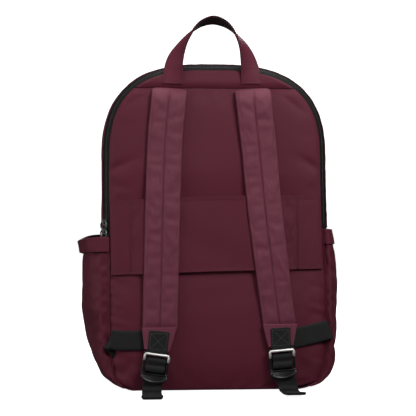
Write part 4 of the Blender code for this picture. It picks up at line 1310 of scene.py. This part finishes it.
def make_slider(which, along, out):
    """A lacquered slider: a rounded plate with a raised bridge, and a ring through the bridge."""
    slider, pull = which + "_zip_slider", which + "_zip_pull"
    hole = pull_hole(which + "_pull_swing")
    along, out = np.array(along, float), np.array(out, float)
    across = np.cross(along, out)

    def placed(corners):
        c = np.asarray(corners) / 1000
        return hole + c[:, :1] * across - c[:, 1:2] * out + c[:, 2:] * along

    blocks = [
        block((-3.3, 1.2, -5.0), (3.3, 2.7, 1.0)),
        block((-2.4, 1.2, -6.1), (2.4, 2.7, 2.8)),
        block((-0.95, -2.2, -2.6), (0.95, -1.2, 2.4)),
        block((-0.95, -2.2, -3.2), (0.95, 1.6, -2.1)),
        block((-0.95, -2.2, 2.0), (0.95, 1.6, 2.9)),
    ]
    moulded(slider + "_body", [placed(b) for b in blocks], 0.00028, 3, slider, BLACK_METAL, "zip_hardware",
            slider)
    reach = 0.0048
    wire = 0.00095
    rings = []
    k = np.linspace(0, math.tau, 10, endpoint=False)
    for a in np.linspace(0, math.tau, 40, endpoint=False):
        radial = along * math.cos(a) + across * math.sin(a)
        centre = hole - along * reach + (along * math.cos(a) * 1.05 + across * math.sin(a) * 1.12) * reach
        rings.append(centre + radial * (wire * np.cos(k))[:, None] + out * (wire * np.sin(k))[:, None])
    piece = grid_piece(pull + "_ring", np.array(rings + rings[:1]), around=True)
    weld = piece.modifiers.new("join", "WELD")
    weld.merge_threshold = 0.00002
    apply_modifiers(piece)
    done(piece, pull, BLACK_METAL, "zip_hardware", pull)


# --- front ---
def make_front():
    outline = LOOP + LOOP_OUT * -0.0083
    z_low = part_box("front_panel")[0].z
    z = z_low + (outline[:, 1].max() - 0.0002 - z_low) * np.linspace(0, 1, 90) ** 0.97
    u = np.linspace(-1, 1, 59)[None]
    x = np.where(u < 0, u * edge_x(-1, z, outline)[:, None], u * edge_x(1, z, outline)[:, None])
    zz = np.broadcast_to(z[:, None], x.shape)
    border = np.minimum((1 - np.abs(u)) * 0.12, np.minimum(zz - z[0], z[-1] - zz))
    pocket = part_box("front_pocket_panel")
    above = smoothstep(pocket[1].z + 0.006, pocket[1].z + 0.030, zz)
    crown = 0.0045 * (1 - np.exp(-np.maximum(border, 0) / 0.020)) * above
    crown = crown + ripple(91, (x + zz, 0.15), (zz - x, 0.11)) * 0.0009 * np.minimum(border / 0.02, 1) * above
    piece = grid_piece("front_cloth", np.stack([x, FRONT_Y - 0.0006 + crown, zz], axis=2)[:, ::-1])
    held = np.maximum(edge_weights(*x.shape), (zz < pocket[1].z + 0.01).ravel())
    settle(piece, held, 0.3, 0.008, 0.002)
    sewn(piece, "front_panel")

    low, high = pocket
    columns, rows = 53, 49
    u = np.linspace(-1, 1, columns)[None]
    v = np.linspace(0, 1, rows)[:, None]
    half_width = (high.x - low.x) / 2 - 0.001
    proud = high.y - FRONT_Y - 0.0012
    x = half_width * np.sin(u * np.pi / 2) * np.ones_like(v)
    z = low.z + (high.z - low.z) * v * np.ones_like(u)
    fullness = (1 - (1 - v) ** 5) * (1 - 0.60 * v ** 6)
    edge = np.sqrt(np.clip(1 - np.abs(x / half_width) ** 4, 0, 1))
    folds = ripple(97, (x + 0.5 * z, 0.12), (z, 0.09)) * 0.0009 * edge * np.sin(np.pi * v)
    y = FRONT_Y + 0.0004 + proud * fullness * edge + folds
    piece = grid_piece("front_pocket_cloth", np.stack([x, y, z], axis=2)[:, ::-1])
    settle(piece, edge_weights(rows, columns), 0.4, 0.016, 0.003)
    sewn(piece, "front_pocket_panel")
    starts = [np.stack([np.linspace(-half_width + 0.012, half_width - 0.012, 80), np.full(80, high.y + 0.004),
                        np.full(80, high.z - 0.006)], axis=1)]
    for s in (-1, 1):
        starts.append(np.stack([np.full(70, s * (half_width - 0.006)), np.full(70, high.y + 0.004),
                                np.linspace(low.z + 0.012, high.z - 0.008, 70)], axis=1))
    seam_stitches("front_pocket_stitches", [on_surface(piece, start, -TO_BAG) for start in starts])


def make_front_zip():
    """The front pocket's straight zip: a tape on each side of a toothed coil."""
    low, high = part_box("front_zip_tape")
    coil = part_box("front_zip_coil")
    centre = np.array([0, (low.y + high.y) / 2, (low.z + high.z) / 2])
    middle = np.array([0, (coil[0].y + coil[1].y) / 2, (coil[0].z + coil[1].z) / 2])
    right = np.array([1.0, 0, 0])
    up = np.array([0, -ZIP_SLANT, ZIP_SLANT])
    out = np.array([0, ZIP_SLANT, ZIP_SLANT])
    xs = np.linspace(low.x, high.x, 40)
    widths = np.linspace(-0.0040, 0.0040, 9)
    lift = 0.0002 * np.cos(widths / 0.0040 * np.pi / 2)
    points = centre + xs[:, None, None] * right + widths[None, :, None] * up + lift[None, :, None] * out
    tape = grid_piece("front_tape", points)
    thicken(tape, TAPE_THICKNESS, 0.0)
    done(tape, "root", ZIP_TAPE, "zip_tape", "front_zip_tape")
    steps = np.arange(int((high.x - low.x) / COIL_PITCH * 5))[:, None]
    along, raised = coil_section(steps)
    x = low.x + steps * COIL_PITCH / 5 + 0 * along
    points = middle + x[..., None] * right + along[..., None] * up + (raised - 0.0002)[..., None] * out
    chain = grid_piece("front_coil_chain", points, around=True)
    cap_ends(chain, len(steps), COIL_SIDES)
    done(chain, "root", COIL, "zip_tape", "front_zip_coil")


def finish_inside():
    """The pieces inside keep their CAD shape and get their own finish."""
    finishes = {"back_foam_pad": FOAM, "back_lining": LINING, "interior_lining": LINING,
                "laptop_sleeve": LINING, "base_board": BOARD}
    for node, material in finishes.items():
        mesh = frame["nodes"][node].data
        mesh.materials.clear()
        mesh.materials.append(material)


# --- stage ---
def staged(name, mesh, emission):
    """Part of the studio: pale, glowing evenly, and not lighting the bag."""
    piece = link(bpy.data.objects.new(name, mesh))
    s = Shader(name + "_white", (0.88, 0.88, 0.88), 0.9)
    s.set(s.bsdf, "Emission Color", (1, 1, 1, 1))
    s.set(s.bsdf, "Emission Strength", emission)
    s.tint(s.noise(s.coordinates(), 3.0), 0.995, 1.005)
    piece.data.materials.append(s.material)
    piece.visible_diffuse = piece.visible_glossy = False
    return piece


def make_stage():
    mesh = bpy.data.meshes.new("floor")
    size = 14.0
    corners = [(-size, -size, 0), (size, -size, 0), (size, size, 0), (-size, size, 0)]
    mesh.from_pydata(corners, [], [(0, 1, 2, 3)])
    staged("floor", mesh, 0.95)
    bm = bmesh.new()
    bmesh.ops.create_uvsphere(bm, u_segments=32, v_segments=16, radius=18.0)
    mesh = bpy.data.meshes.new("backdrop")
    bm.to_mesh(mesh)
    bm.free()
    backdrop = staged("backdrop", mesh, 1.4)
    backdrop.visible_shadow = False
    world = bpy.data.worlds.new("studio")
    bpy.context.scene.world = world
    world.use_nodes = True
    background = world.node_tree.nodes["Background"]
    background.inputs["Color"].default_value = (1, 1, 1, 1)
    background.inputs["Strength"].default_value = 0.08
    lights = (("key", (0.60, -1.25, 1.05), (0.05, -0.08, 0.36), 0.6, 1.75, 55),
              ("front", (-0.4, -1.2, 1.7), (0, 0, 0.42), 0.9, 1.0, 70),
              ("side", (-1.8, -0.9, 0.4), (0, 0, 0.14), 1.0, 8.5, 150),
              ("top", (0.2, 0.1, 2.2), (0, 0, 0.22), 1.0, 16.0, 150),
              ("rear", (0.5, 1.9, 1.1), (0, 0, 0.22), 1.2, 12.0, 150))
    for name, place, target, width, power, spread in lights:
        data = bpy.data.lights.new(name, "AREA")
        data.shape = "SQUARE"
        data.size = width
        data.energy = power
        data.spread = math.radians(spread)
        light = link(bpy.data.objects.new(name, data))
        light.location = place
        light.rotation_euler = (Vector(target) - Vector(place)).to_track_quat("-Z", "Y").to_euler()
    bpy.context.scene.view_settings.view_transform = "Standard"


CAMERA_TURN = -4.0  # degrees round from the harness side
CAMERA_DISTANCE = 1.5


def make_camera():
    data = bpy.data.cameras.new("camera")
    data.sensor_width = 36.0
    data.lens = 36.0 * CAMERA_DISTANCE / 0.532
    camera = link(bpy.data.objects.new("camera", data))
    turn = math.radians(CAMERA_TURN)
    target = Vector((-0.0077, BACK_Y, 0.234))
    back = Vector((math.sin(turn), -math.cos(turn), 0))
    camera.location = target + back * CAMERA_DISTANCE
    camera.rotation_euler = (-back).to_track_quat("-Z", "Y").to_euler()
    bpy.context.scene.camera = camera


make_camera()
make_stage()
make_rim()
make_back_panel()
make_zip()
make_sleeve()
make_handle()
for strap_side in ("left", "right"):
    make_strap(strap_side)
    make_end(strap_side)
    make_buckle(strap_side)
    make_tail(strap_side)
    make_anchor(strap_side)
    make_pocket(strap_side)
for zip_end in ("lower", "upper"):
    make_slider(zip_end, (0, 0, 1), (-ZIP_SLANT, -ZIP_SLANT, 0))
make_slider("front", (-1, 0, 0), (0, ZIP_SLANT, ZIP_SLANT))
make_front()
make_front_zip()
finish_inside()
